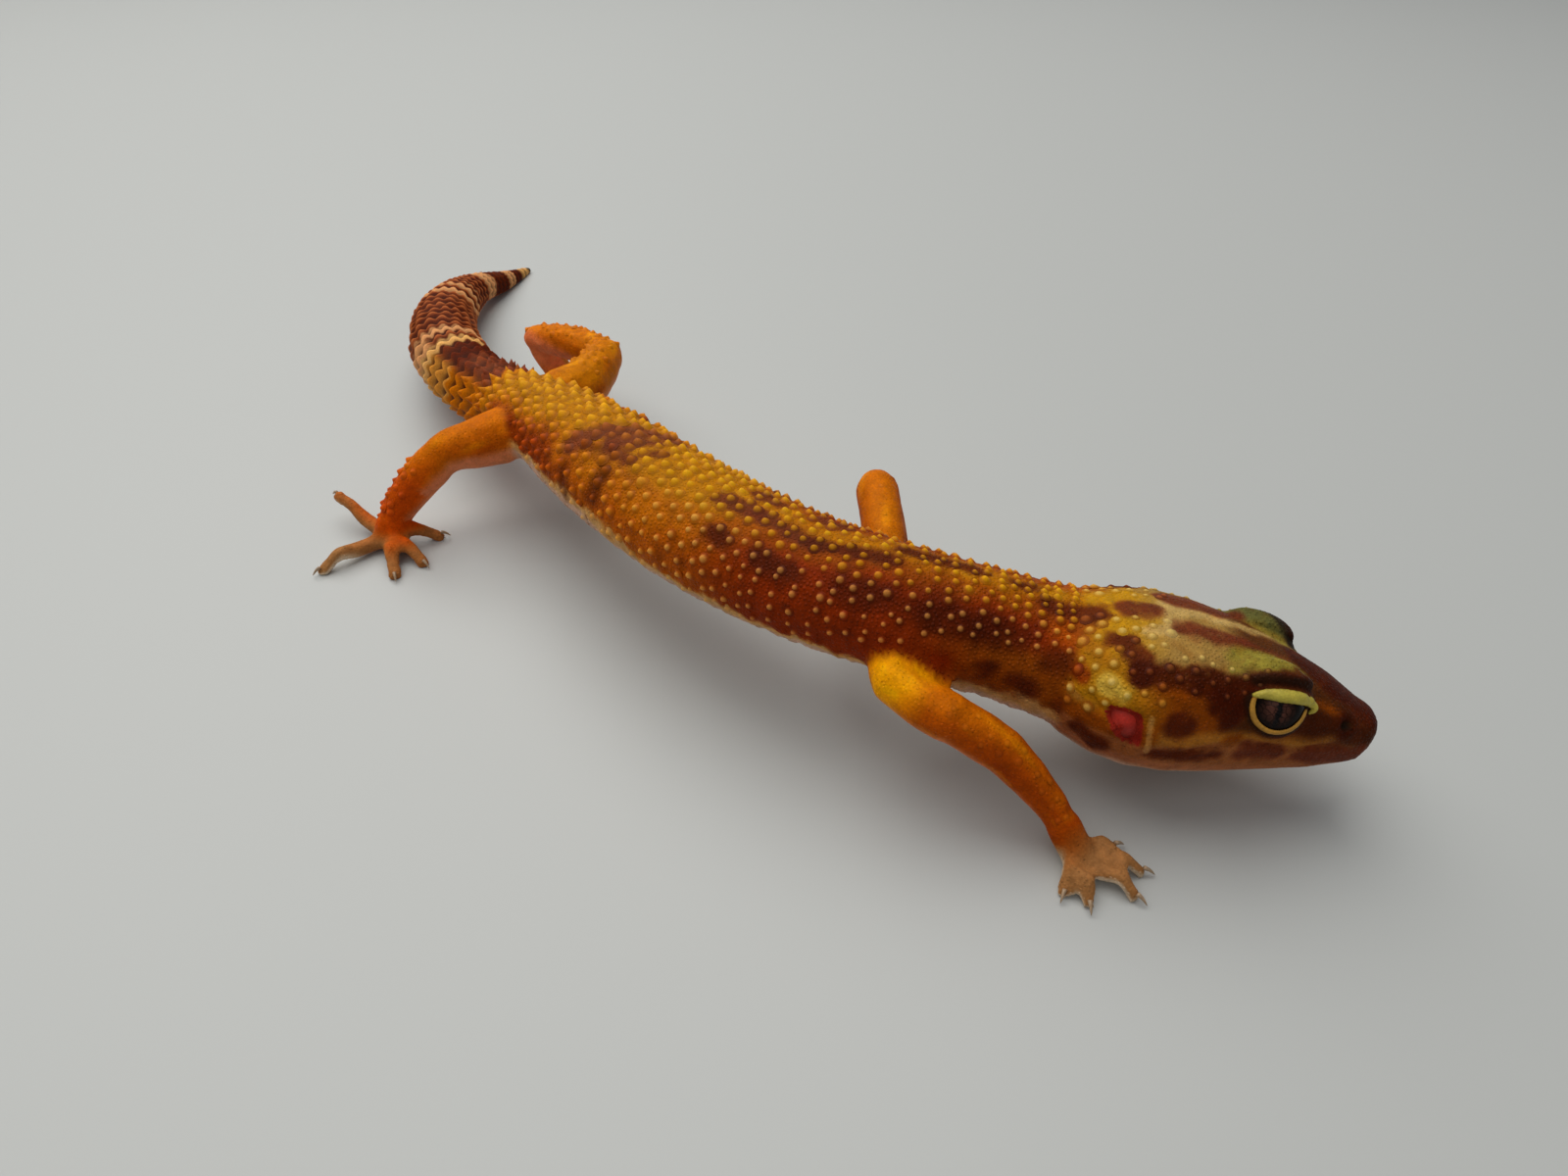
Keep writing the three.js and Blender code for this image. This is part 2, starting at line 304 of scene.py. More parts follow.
def refine(obj, chosen):
    """Halves the size of the facets whose corners are all chosen."""
    only(obj)
    bpy.ops.object.mode_set(mode="EDIT")
    bpy.ops.mesh.select_mode(type="VERT")
    bpy.ops.mesh.select_all(action="DESELECT")
    bpy.ops.object.mode_set(mode="OBJECT")
    obj.data.vertices.foreach_set("select", chosen)
    bpy.ops.object.mode_set(mode="EDIT")
    bpy.ops.mesh.subdivide(number_cuts=1)
    bpy.ops.object.mode_set(mode="OBJECT")


def smooth(obj):
    obj.data.polygons.foreach_set("use_smooth", np.ones(len(obj.data.polygons), bool))


def build(name, places, corners, colours=None, unwrap=None):
    """A mesh of triangles from arrays, with its pigment and its place on the unwrap."""
    mesh = bpy.data.meshes.new(name)
    mesh.vertices.add(len(places))
    mesh.vertices.foreach_set("co", (places * MM).ravel())
    mesh.loops.add(corners.size)
    mesh.loops.foreach_set("vertex_index", corners.ravel())
    mesh.polygons.add(len(corners))
    mesh.polygons.foreach_set("loop_start", np.arange(0, corners.size, 3))
    mesh.update(calc_edges=True)
    mesh.validate()
    obj = add_object(name, mesh)
    smooth(obj)
    if colours is not None:
        pigment(obj, colours)
    if unwrap is not None:
        layer = mesh.uv_layers.new(name="OFBake")
        at_corners = unwrap if len(unwrap) == corners.size else unwrap[corners.ravel()]
        layer.uv.foreach_set("vector", at_corners.ravel())
    return obj


def as_light(tones):
    """Amounts of light, from tones given as they look, from 0 to 1."""
    plain = np.clip(tones, 0, 1)
    return np.where(plain < 0.04045, plain / 12.92, ((plain + 0.055) / 1.055) ** 2.4)


def pigment(obj, colours, name="pigment"):
    """Stores a colour at each vertex."""
    layer = obj.data.color_attributes.new(name, "FLOAT_COLOR", "POINT")
    layer.data.foreach_set("color", np.hstack([as_light(colours), np.ones((len(colours), 1))]).ravel())


def strip(count, around):
    """Triangles of an open tube: rings of points, each joined to the next."""
    i, j = np.meshgrid(np.arange(count - 1), np.arange(around), indexing="ij")
    a, b = i * around + j, i * around + (j + 1) % around
    c, d = a + around, b + around
    return np.concatenate([np.stack([a, b, d], -1).reshape(-1, 3), np.stack([a, d, c], -1).reshape(-1, 3)])


def cap(first, around):
    """Triangles across a ring of points."""
    return np.array([(first, first + j, first + j + 1) for j in range(1, around - 1)])


def tube(count, around):
    """Triangles of a tube with both ends closed."""
    return np.concatenate([strip(count, around), cap(0, around), cap((count - 1) * around, around)[:, ::-1]])


def ease(x, low, high):
    """0 below low, 1 above high, smooth between."""
    t = np.clip((x - low) / (high - low), 0, 1)
    return t * t * (3 - 2 * t)


def fade(x, low, high):
    """1 below low, 0 above high, smooth between."""
    return 1 - ease(x, low, high)


def bump(distance, width):
    return np.exp(-((distance / width) ** 2))


def off_path(places, path):
    """How far places are from a run of straight lengths, and where along it they are nearest."""
    path = np.asarray(path, float)
    best, at = np.full(len(places), 1e9), np.zeros(len(places))
    for i, (a, b) in enumerate(zip(path, path[1:])):
        way = b - a
        t = np.clip((places - a) @ way / max(way @ way, 1e-9), 0, 1)
        gap = np.linalg.norm(places - a - t[:, None] * way, axis=1)
        at = np.where(gap < best, i + t, at)
        best = np.minimum(best, gap)
    return best, at


def gap_to(places, path):
    return off_path(places, path)[0]


def inside(places, outline):
    """Which flat places lie within a closed outline."""
    within = np.zeros(len(places), bool)
    for a, b in zip(outline, outline[1:] + outline[:1]):
        spans = (a[1] > places[:, 1]) != (b[1] > places[:, 1])
        rise = b[1] - a[1] if b[1] != a[1] else 1e-9
        within ^= spans & (places[:, 0] < a[0] + (places[:, 1] - a[1]) * (b[0] - a[0]) / rise)
    return within


def outside(places, outline):
    """How far flat places are out of a closed outline: less than nothing within it."""
    gap = gap_to(places, outline + outline[:1])
    return np.where(inside(places, outline), -gap, gap)


def mirrored(local, side=1):
    """Places in the head's frame, all brought to one side of it."""
    return local * [1, 0, 1] + side * np.abs(local) * [0, 1, 0]


def grain(places, size, seed):
    """Smooth seeded noise from -1 to 1, with lumps about size across."""
    table = np.random.default_rng(seed).uniform(-1, 1, 4096)
    cell = places / size + 1000
    base = np.floor(cell).astype(int)
    part = cell - base
    part = part * part * (3 - 2 * part)
    total = np.zeros(len(places))
    for corner in np.ndindex(2, 2, 2):
        at = base + corner
        key = (at[:, 0] * 73856093 ^ at[:, 1] * 19349663 ^ at[:, 2] * 83492791) & 4095
        total += table[key] * np.prod(np.where(corner, part, 1 - part), axis=1)
    return total


# ---- Where a place is on the animal ----

def part_of(node):
    """0 for the head, 1 the trunk, 2 the tail, then one for each limb."""
    if node in ("head", "lower_jaw"):
        return 0
    if node in TRUNK:
        return 1
    if node in TAIL:
        return 2
    return 3 + [node.startswith(limb) for limb in LIMBS].index(True)


class Flesh:
    """The nearest length of flesh to a place: its part, whether it is a foot, and how far into a limb."""

    def __init__(self):
        self.groups = [self.group([n for n in FLESH if (part_of(n) > 2) == limb]) for limb in (False, True)]

    def group(self, nodes):
        corners, sheets, parts, feet = [], [], [], []
        for node in nodes:
            mesh = NODES[node].data
            mesh.calc_loop_triangles()
            first = len(corners)
            corners += [v.co / MM for v in mesh.vertices]
            sheets += [[first + i for i in t.vertices] for t in mesh.loop_triangles]
            parts += [part_of(node)] * len(mesh.loop_triangles)
            feet += [node.endswith("foot")] * len(mesh.loop_triangles)
        return BVHTree.FromPolygons(corners, sheets), np.array(parts), np.array(feet)

    def of(self, places):
        parts, feet, gaps = [], [], []
        for tree, part, foot in self.groups:
            rows = [tree.find_nearest(Vector(p)) for p in places]
            sheet = [row[2] for row in rows]
            parts.append(part[sheet])
            feet.append(foot[sheet])
            gaps.append(np.array([row[3] for row in rows]))
        limb = gaps[1] < gaps[0]
        return np.where(limb, parts[1], parts[0]), feet[1] & limb, gaps[0] - gaps[1]


OWNER = Flesh()
GIRTH = ([0, 10, 40, 75, 90, 110, 130, 150, 165, 176], [9.5, 8, 8, 7, 5.6, 5.4, 4.8, 3.4, 1.9, 0.6])


def girth(along):
    return np.interp(along, *GIRTH)


def lean(along):
    return LEAN * fade(along, 55, 85)


def off_ridge(along, angle):
    """How far round from the ridge of the back, either way, in degrees."""
    return np.abs((angle - lean(along) + 180) % 360 - 180)


def regions(places, pairs):
    """Where each vertex of the skin is, with soft borders between the parts of the animal."""
    along, angle, out = SPINE.measure(places)
    part, foot, into = OWNER.of(places)
    where = {"along": along, "angle": angle, "out": out, "part": part, "local": HEAD.measure(places)}
    where["head"] = blur((part == 0) * 1.0, pairs, 6)
    where["limb"] = blur(ease(into, -0.8, 0.8), pairs, 4)
    where["tail"] = ease(along, 86, 88) * (1 - where["limb"]) * (part != 0)
    where["foot"] = blur(foot * 1.0, pairs, 4)
    where["reach"], where["turn"], where["off"] = np.zeros((3, len(places)))
    gaps = [np.linalg.norm(places - middle(limb + "_upper"), axis=1) for limb in LIMBS]
    where["kin"] = np.where(part > 2, part - 3, np.argmin(gaps, axis=0))
    for k, limb in enumerate(LIMBS):
        mine = (where["kin"] == k) & (where["limb"] > 0.01)
        rows = LINES[limb].measure(places[mine])
        where["reach"][mine], where["turn"][mine], where["off"][mine] = rows
    return where


# ---- The skin ----

class Eye(Frame):
    """An eye's own frame: ahead and up across it, out along its axis."""

    OUT = (-0.03, 0.915, 0.40)

    def __init__(self, side):
        self.side = SIDES[side]
        self.name = side
        self.centre = middle(f"eye_{side}")
        low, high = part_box(f"eye_{side}")
        self.radius = (high[0] - low[0] + high[1] - low[1]) / (4 * MM)
        out = np.array(self.OUT) * [1, self.side, 1]
        self.out = unit(out @ HEAD.axes)
        self.ahead = unit(HEAD.x - self.out * (HEAD.x @ self.out))
        self.up = np.cross(self.out, self.ahead) * self.side * -1
        self.axes = np.array([self.ahead, self.up, self.out])


EYES = [Eye(side) for side in SIDES]
UPPER_LID = [(-2.4, 0.72), (-1.4, 1.1), (0.1, 1.34), (1.9, 1.42), (3.2, 1.16), (3.9, 0.66), (3.5, 0.05)]
UPPER_LID_HALF = [0.22, 0.48, 0.64, 0.6, 0.46, 0.32, 0.18]
LOWER_LID = [(-2.15, 0.7), (-2.1, -0.4), (-1.5, -1.55), (-0.1, -2.2), (1.5, -1.75), (2.4, -0.65), (2.8, 0.5)]
LOWER_LID_HALF = [0.22, 0.26, 0.26, 0.24, 0.22, 0.2, 0.18]


def over_lid(rise, stretch=1, back=0):
    """The line of the upper lid, raised, stretched and moved back."""
    return [(p * stretch - back, r + rise) for p, r in UPPER_LID[:5]]


APERTURE = over_lid(-0.35) + LOWER_LID[:0:-1]


def flesh_lump(node):
    """A copy of a length of flesh, swollen so that it runs into its neighbours."""
    lump = add_object("flesh_" + node, NODES[node].data.copy())
    weld = (bpy.ops.mesh.remove_doubles, {"threshold": WELD * MM})
    edit(lump, weld, (bpy.ops.transform.shrink_fatten, {"value": SWELL * MM}))
    return lump


def sphere(radius, segments, rings):
    bpy.ops.object.select_all(action="DESELECT")
    bpy.ops.mesh.primitive_uv_sphere_add(segments=segments, ring_count=rings, radius=radius)
    return bpy.context.object


def ball(name, centre, radii, segments=24):
    obj = sphere(MM, segments, segments // 2)
    obj.name = name
    write(obj, read(obj) * radii + centre)
    return obj


def make_skin():
    lumps = [flesh_lump(node) for node in FLESH]
    for eye in EYES:
        lumps.append(ball("orbit", eye.centre, eye.radius + SWELL + ORBIT))
    for side in SIDES:
        lumps.append(ball("ear_bed", middle("ear_" + side), EAR_BED))
    only(lumps[0])
    for lump in lumps:
        lump.select_set(True)
    bpy.ops.object.join()
    skin = lumps[0]
    skin.name = skin.data.name = "skin"
    apply(skin, "REMESH", mode="VOXEL", voxel_size=VOXEL * MM)
    relax(skin, 10)
    where = regions(read(skin), edges(skin))
    refine(skin, (where["head"] > 0.4) | (where["foot"] > 0.6))
    relax(skin, 8)
    places = read(skin)
    where = regions(places, edges(skin))
    depth = COAT["trunk"] + (COAT["head"] - COAT["trunk"]) * where["head"]
    tail_depth = np.interp(where["along"], [84, 100, 130, 170], [0.42, 0.6, 0.46, 0.14])
    depth += (tail_depth - depth) * where["tail"]
    depth += (COAT["limb"] - depth) * where["limb"]
    toe_depth = np.where(where["part"] < 5, TOE_DEPTH["fore"], TOE_DEPTH["hind"])
    depth += (toe_depth - depth) * where["foot"]
    places = places - normals(skin) * (SWELL + depth)[:, None]
    places[:, 2] = np.maximum(places[:, 2], 0)
    write(skin, places)
    relax(skin, 4)
    return skin


LIP_LINE = [(9.8, 9.9, -3.0), (10.6, 9.8, -2.6), (13.9, 9, -1.3), (17.6, 7.4, -1.0), (21.2, 5.6, -1.5),
            (25.4, 4.3, -0.9), (28, 2.3, -1.3), (29, 0, -1.5)]
NOSTRIL = (25.9, 3.6, 1.2)
# Over the ear, in front of it, and the groove under the eye: path, height and width.
HEAD_FOLDS = [
    ([(2.5, 9.6, 2.8), (5, 10.4, 2.3), (6.8, 10.4, 2.0)], 0.3, 0.8),
    ([(8.1, 10.6, 1.4), (8.2, 10.6, -1.6), (6.4, 10, -3.6)], 0.22, 0.7),
    ([(16, 8, -0.2), (19.5, 7, -0.6), (22.5, 5.8, 0.2)], -0.16, 0.5),
]
# The ear's opening, seen from the side: forward and up in the head's frame.
EAR = [(3.1, 0.9), (4.8, 1.25), (6.4, 1.05), (6.9, -0.6), (7.1, -2.3), (5.9, -2.6), (4.2, -1.4), (3.4, -0.2)]


def by_ear(local):
    """The part of the head's sides that the ears are in."""
    return (np.abs(local[:, 1]) > 6) & (local[:, 0] < 9)


def sculpt_head(skin):
    """Lids' openings, brows, lips, nostrils and the folds round the ears."""
    places, ways = read(skin), normals(skin)
    local = HEAD.measure(places)
    mine = local[:, 0] > -4
    lift = np.zeros(len(places))
    mirror = mirrored(local)
    lip, at = off_path(mirror, LIP_LINE)
    lip_on = ease(at, 0.2, 1.5) * mine
    below = mirror[:, 2] < np.interp(-mirror[:, 0], [-29, -10], [-1.5, -2.8])
    lift += lip_on * (-0.26 * bump(lip, 0.3) + 0.12 * bump(lip - 0.75, 0.5) * np.where(below, 0.7, 1))
    nose = np.linalg.norm(mirror - NOSTRIL, axis=1)
    lift += -0.6 * bump(nose, 0.5) + 0.14 * bump(nose - 0.95, 0.45)
    for path, height, width in HEAD_FOLDS:
        lift += height * bump(gap_to(mirror, path), width) * mine
    lift -= 0.62 * ease(-outside(mirror[:, [0, 2]], EAR), -0.15, 0.3) * by_ear(local)
    places = places + ways * lift[:, None]
    for eye in EYES:
        flat = eye.measure(places)
        across = np.linalg.norm(flat[:, :2], axis=1)
        near = (flat[:, 2] > 0) & (across < eye.radius + 2.2)
        rise = -0.22 * bump(gap_to(flat[:, :2], over_lid(1.0)), 0.3)
        rise += 0.22 * bump(gap_to(flat[:, :2], over_lid(1.7)), 0.4)
        rise += 0.2 * bump(gap_to(flat[:, :2], over_lid(2.9, 1.1, 0.5)), 0.6)
        rise -= 0.14 * bump(gap_to(flat[:, :2], [(p * 1.22, r * 1.22 - 0.05) for p, r in LOWER_LID]), 0.3)
        places[near] += (ways * rise[:, None])[near]
        flat = eye.measure(places)
        edge = outside(flat[:, :2], APERTURE)
        reach = np.linalg.norm(flat, axis=1)
        shell = np.maximum(reach, eye.radius + 0.14)
        drop = fade(edge, -0.3, 0.0)
        wanted = shell + (eye.radius - 0.5 - shell) * drop
        near = (flat[:, 2] > 0) & (across < eye.radius + 1)
        places[near] = eye.place(flat * (wanted / reach)[:, None])[near]
    write(skin, places)


def toe_lines(limb):
    """From the middle of a foot to where each claw leaves its toe."""
    heart = middle(limb + "_foot")
    for toe in TOES:
        claw = middle(f"claw_{limb}_{toe}")
        way = unit((claw - heart) * [1, 1, 0])
        yield heart, claw - way * 0.7, way


def sculpt_toes(skin, where):
    """Arches the toes and rounds their tips."""
    places, ways = read(skin), normals(skin)
    for k, limb in enumerate(LIMBS):
        mine = np.flatnonzero((where["part"] == 3 + k) & (where["foot"] > 0.2))
        here = places[mine]
        gaps, shares = [], []
        for heart, tip, way in toe_lines(limb):
            span = np.linalg.norm((tip - heart)[:2])
            share = (here - heart) @ way / span
            side = np.abs((here - heart) @ np.array([-way[1], way[0], 0]))
            gaps.append(np.where(share > 0.2, side, 9))
            shares.append(share)
        nearest = np.argmin(gaps, axis=0)
        share = np.take_along_axis(np.array(shares), nearest[None], 0)[0]
        on = ease(-np.min(gaps, axis=0), -2, -1) * where["foot"][mine]
        lift = 0.75 * bump(share - 0.62, 0.2) * on
        places[mine] += ways[mine] * (0.16 * bump(share - 0.97, 0.1) * on)[:, None]
        places[mine, 2] += lift
        places[mine, 2] -= 0.25 * bump(share - 1.0, 0.12) * on
    places[:, 2] = np.maximum(places[:, 2], 0)
    write(skin, places)


FOLDS = [
    ([(2.6, -9.6, 0.2), (0.5, -9.3, 1.8), (-3, -8.6, 3.0)], 0.22, 0.4),
    ([(2.2, -9.7, -2.5), (-1, -9.6, -2.0), (-5, -9, -1.5)], 0.18, 0.5),
    ([(0.5, -9.6, -4.5), (-3.5, -9.2, -3.4), (-8, -8.4, -2.4)], 0.16, 0.5),
]


def sculpt_body(skin, where):
    """Loose skin: folds behind the jaw, at the armpits and where the limbs bend."""
    places, ways = read(skin), normals(skin)
    local = HEAD.measure(places)
    mirror = mirrored(local, -1)
    lift = np.zeros(len(places))
    for path, depth, width in FOLDS:
        gap = gap_to(mirror, path)
        lift += -depth * bump(gap, width) + 0.5 * depth * bump(gap - 2 * width, width)
    soft = ease(np.abs(where["angle"] - lean(where["along"])), 55, 85)
    soft *= (1 - where["limb"]) * (1 - where["head"])
    ripple = grain(np.stack([where["along"] * 1.6, where["angle"] / 14, where["out"] * 0], 1), 1.0, 21)
    lift += 0.14 * ripple * soft * (1 - where["tail"])
    crease = grain(np.stack([where["along"] * 0.45, where["angle"] / 4.5, where["out"] * 0], 1), 1.0, 25)
    armpit = bump(where["along"] - 20, 9) * soft * (1 - where["tail"])
    lift += 0.12 * crease * armpit
    lift += 0.05 * grain(places, 1.4, 22) * (1 - where["head"])
    join = where["limb"] * (1 - where["limb"]) * 4
    lift -= 0.18 * join
    write(skin, places + ways * lift[:, None])


# ---- Pigment ----

TONE = {
    "mustard": (172, 116, 10), "lemon": (222, 172, 44), "honey": (164, 106, 10), "bronze": (134, 68, 2),
    "rust": (122, 46, 2), "amber": (172, 102, 0), "copper": (164, 86, 0), "garnet": (130, 56, 2),
    "golden": (176, 112, 4), "orange": (184, 98, 4), "blotch": (78, 32, 14), "plum": (100, 50, 30),
    "umber": (62, 22, 6), "cream": (206, 160, 104), "nape": (180, 134, 36), "apricot": (226, 158, 52),
    "pearl": (224, 176, 106), "pale": (194, 144, 102), "pink": (216, 146, 118),
    "olive": (96, 94, 56), "belly": (214, 178, 156), "tan": (158, 126, 74), "sand": (186, 156, 102),
    "cheek": (128, 66, 14), "snout": (74, 40, 18), "jaw": (146, 92, 58), "soot": (34, 26, 20),
    "moss": (144, 132, 62), "wine": (98, 48, 30), "ivory": (180, 126, 62),
    "leg_gold": (236, 160, 16), "leg_orange": (170, 84, 0), "leg_red": (184, 80, 0),
    "leg_brown": (152, 70, 12),
    "toe": (160, 116, 76), "sole": (226, 204, 178), "ear": (140, 46, 36), "ridge": (158, 98, 62),
    "glow": (250, 140, 96), "custard": (206, 172, 84), "mauve": (112, 60, 40),
}
RICHNESS = 1.25  # the sheen of the scales greys the tones a little


def plain(tone):
    return np.array(tone) / 255


def rich(tone):
    tone = plain(tone)
    grey = tone.mean(-1, keepdims=True)
    return np.clip(grey + RICHNESS * (tone - grey), 0.01, 1)


TONE = {name: rich(tone) for name, tone in TONE.items()}


def lay(ground, tone, share):
    """Lays a tone over the ground, by a share at each place."""
    over = TONE[tone] if isinstance(tone, str) else tone
    return ground + (over - ground) * np.clip(share, 0, 1)[:, None]


def stroke(places, path, half, edge, blot):
    """How far each place is covered by a mark that runs along a path."""
    gap, at = off_path(places, path)
    half = np.interp(at, range(len(path)), np.broadcast_to(half, len(path)))
    return 1 - ease(gap + blot, half - edge, half + edge)


# Marks on the head: path in the head's frame, half width along it, tone, and whether both sides have it.
HEAD_MARKS = [
    ([(12.5, 0.4, 7.1), (16, 1.2, 6.6), (20.5, 2.6, 5.2)], [0.8, 0.8, 0.5], "sand", False),
    ([(12.5, 0.4, 7.1), (8.6, 0.5, 7.4), (7.4, 1.6, 7.4)], [0.9, 0.9, 0.8], "sand", False),
    ([(8.6, 0.2, 7.4), (7.6, -3.6, 6.8), (5.6, -4.2, 6.5)], [0.9, 0.8, 0.6], "sand", False),
    ([(13.4, 4.8, 6.0), (17.4, 3.6, 6.4), (20.6, 2.4, 5.2)], [0.8, 1.5, 0.9], "moss", True),
    ([(13.6, 6.0, 5.4), (17.0, 5.4, 6.4)], [0.7, 0.8], "moss", True),
    ([(14, 4.6, 6.4), (17.6, 4.6, 6.9), (20, 4.0, 6.0)], [1.2, 1.5, 1.0], "olive", False),
    ([(18.4, 5.8, 5.8), (21, 4.6, 4.8), (22, 4.4, 3.6)], [1.3, 1.7, 1.2], "soot", False),
    ([(4.3, -0.9, 7.0), (5.3, -0.9, 7.1)], 1.75, "wine", False),
    ([(8.6, 3.4, 7.0), (12.4, 3.3, 6.9), (15.2, 3.9, 6.2)], [1.9, 1.8, 0.9], "wine", False),
    ([(14.4, -3.8, 6.4), (18.4, -2.8, 6.0), (21.2, -1.6, 4.8)], [1.0, 1.1, 0.7], "moss", False),
    ([(9.2, -2.8, 7.0), (12.2, -2.7, 6.9), (14.8, -2.3, 6.6)], [1.2, 1.3, 0.5], "wine", False),
    ([(14.8, -2.2, 6.5), (19.6, -1.5, 5.6)], [0.4, 0.3], "wine", False),
    ([(-2.8, -1.4, 6.6), (0.7, -2.1, 6.9)], [1.5, 1.7], "blotch", False),
    ([(2.9, 5.7, 5.7), (3.9, 6.2, 5.6), (5.2, 7.3, 5.1), (5.4, 8.5, 4.4)],
     [1.1, 1.4, 1.3, 1.2], "blotch", True),
    ([(5.4, 8.7, 4.3), (9, 8.4, 4.7), (13, 7.9, 4.7), (15.6, 7.4, 3.7)],
     [1.3, 1.25, 1.6, 1.8], "umber", True),
    ([(13.2, 8.6, 3.0), (14.1, 8.3, 1.5)], [1.5, 1.1], "umber", True),
    ([(9.7, 10.2, 0.7), (10.3, 10.2, 0.6)], 1.35, "blotch", True),
    ([(8.6, 10, -3), (11.5, 9.4, -2.9), (14.4, 8.3, -2.5)], [0.8, 0.85, 0.7], "blotch", True),
    ([(15.1, 8.6, -0.4), (15.9, 8.6, -0.4)], 0.7, "cheek", True),
    ([(17.3, 7.4, -2.0), (20.2, 6.2, -2.3)], [1.25, 1.1], "wine", True),
    ([(22.4, 5.2, -2.4), (23.4, 4.9, -2.6)], 0.8, "wine", True),
    ([(24, 4.6, -2.2), (29, 2, -2.4)], [1.3, 1.6], "wine", True),
    ([(21.6, 0, 5.2), (25.0, 0, 4.2), (28.8, 0, 2.0)], [2.2, 2.7, 2.5], "umber", False),
    ([(22.2, 5, 3.4), (25.0, 3.9, 2.6)], [0.4, 0.35], "cheek", True),
    ([(25.8, 3.7, 1.5), (26.0, 3.6, 0.8)], 0.9, "umber", True),
    ([(25.9, 3.6, 1.2), (25.9, 3.6, 1.2)], 0.5, "soot", True),
    ([(2.2, 9.4, 2.8), (4.2, 10.2, 2.4)], [1.2, 0.9], "custard", True),
    ([(-1.6, 7.2, 1.0), (0.2, 8.2, 0.5), (2.0, 9.3, 0.0)], [0.25, 0.4, 0.3], "ivory", True),
    ([(-0.4, 8.0, 2.5), (0.6, 8.1, 2.1)], 0.9, "rust", True),
    ([(1.0, 9.4, -3.2), (3.2, 9.5, -4.2)], [1.0, 1.3], "blotch", True),
]

# Marks on the trunk: path as distance along the back and angle round it, half width, tone, and both sides.
TRUNK_MARKS = [
    ([(34.8, -9), (39, -9)], 1.6, "plum", False),
    ([(27.2, -8), (34.6, -8.5)], 1.25, "plum", False),
    ([(19.4, -5), (27, -6)], 1.2, "blotch", False),
    ([(34.6, 21), (37.2, 21)], 1.4, "plum", False),
    ([(25.6, 33), (29.4, 33)], 1.3, "plum", False),
    ([(11.6, 12), (18.4, 14)], 1.2, "blotch", False),
    ([(36, -46), (37.2, -46)], 1.2, "blotch", True),
    ([(27.4, -46), (31, -47)], 1.3, "blotch", True),
    ([(19.4, -45), (22, -46)], 1.8, "umber", True),
    ([(9.4, -48), (14.5, -49)], 2.0, "umber", True),
    ([(6, -50), (10, -52)], 1.6, "umber", True),
    ([(5.7, 10), (7.3, 10)], 0.9, "blotch", False),
    ([(-1.0, -12), (3.4, -9)], 1.7, "blotch", False),
    ([(1.0, -60), (2.2, -60)], 1.6, "umber", True),
    ([(4.4, -85), (5.6, -85)], 1.0, "blotch", True),
    ([(8.5, -83), (8.5, -87)], 1.1, "blotch", True),
    ([(13.0, -86), (13.0, -90)], 1.0, "rust", True),
    ([(0, -91), (0, -94)], 1.3, "blotch", True),
    ([(3.8, -90), (3.8, -92)], 0.9, "blotch", True),
    ([(-5.4, -99), (-3.5, -98)], 1.0, "blotch", True),
    ([(62.6, -46), (61.2, -30), (60.4, -15), (59, -2), (57.4, 10), (55.6, 24), (53.6, 38)],
     1.6, "mauve", False),
    ([(57.6, -19), (56.2, -8), (54.8, 3), (53.4, 14)], [1.3, 1.5, 1.4, 1.0], "mauve", False),
    ([(53.6, -27), (56.8, -24)], 1.1, "plum", False),
    ([(52.4, -12), (51.4, 0)], [0.6, 0.9], "plum", False),
    ([(59.2, -35), (59.9, -35)], 0.6, "blotch", False),
    ([(54.6, -50), (54.9, -62), (54.4, -74)], 1.0, "umber", True),
    ([(61.5, -70), (60.5, -84)], 1.1, "umber", True),
    ([(62.5, 52), (63.5, 64)], 1.2, "plum", False),
]
CREAM_EDGE = ([0, 10, 22, 27, 46, 55, 63, 78, 90], [116, 122, 124, 120, 118, 108, 98, 96, 104])


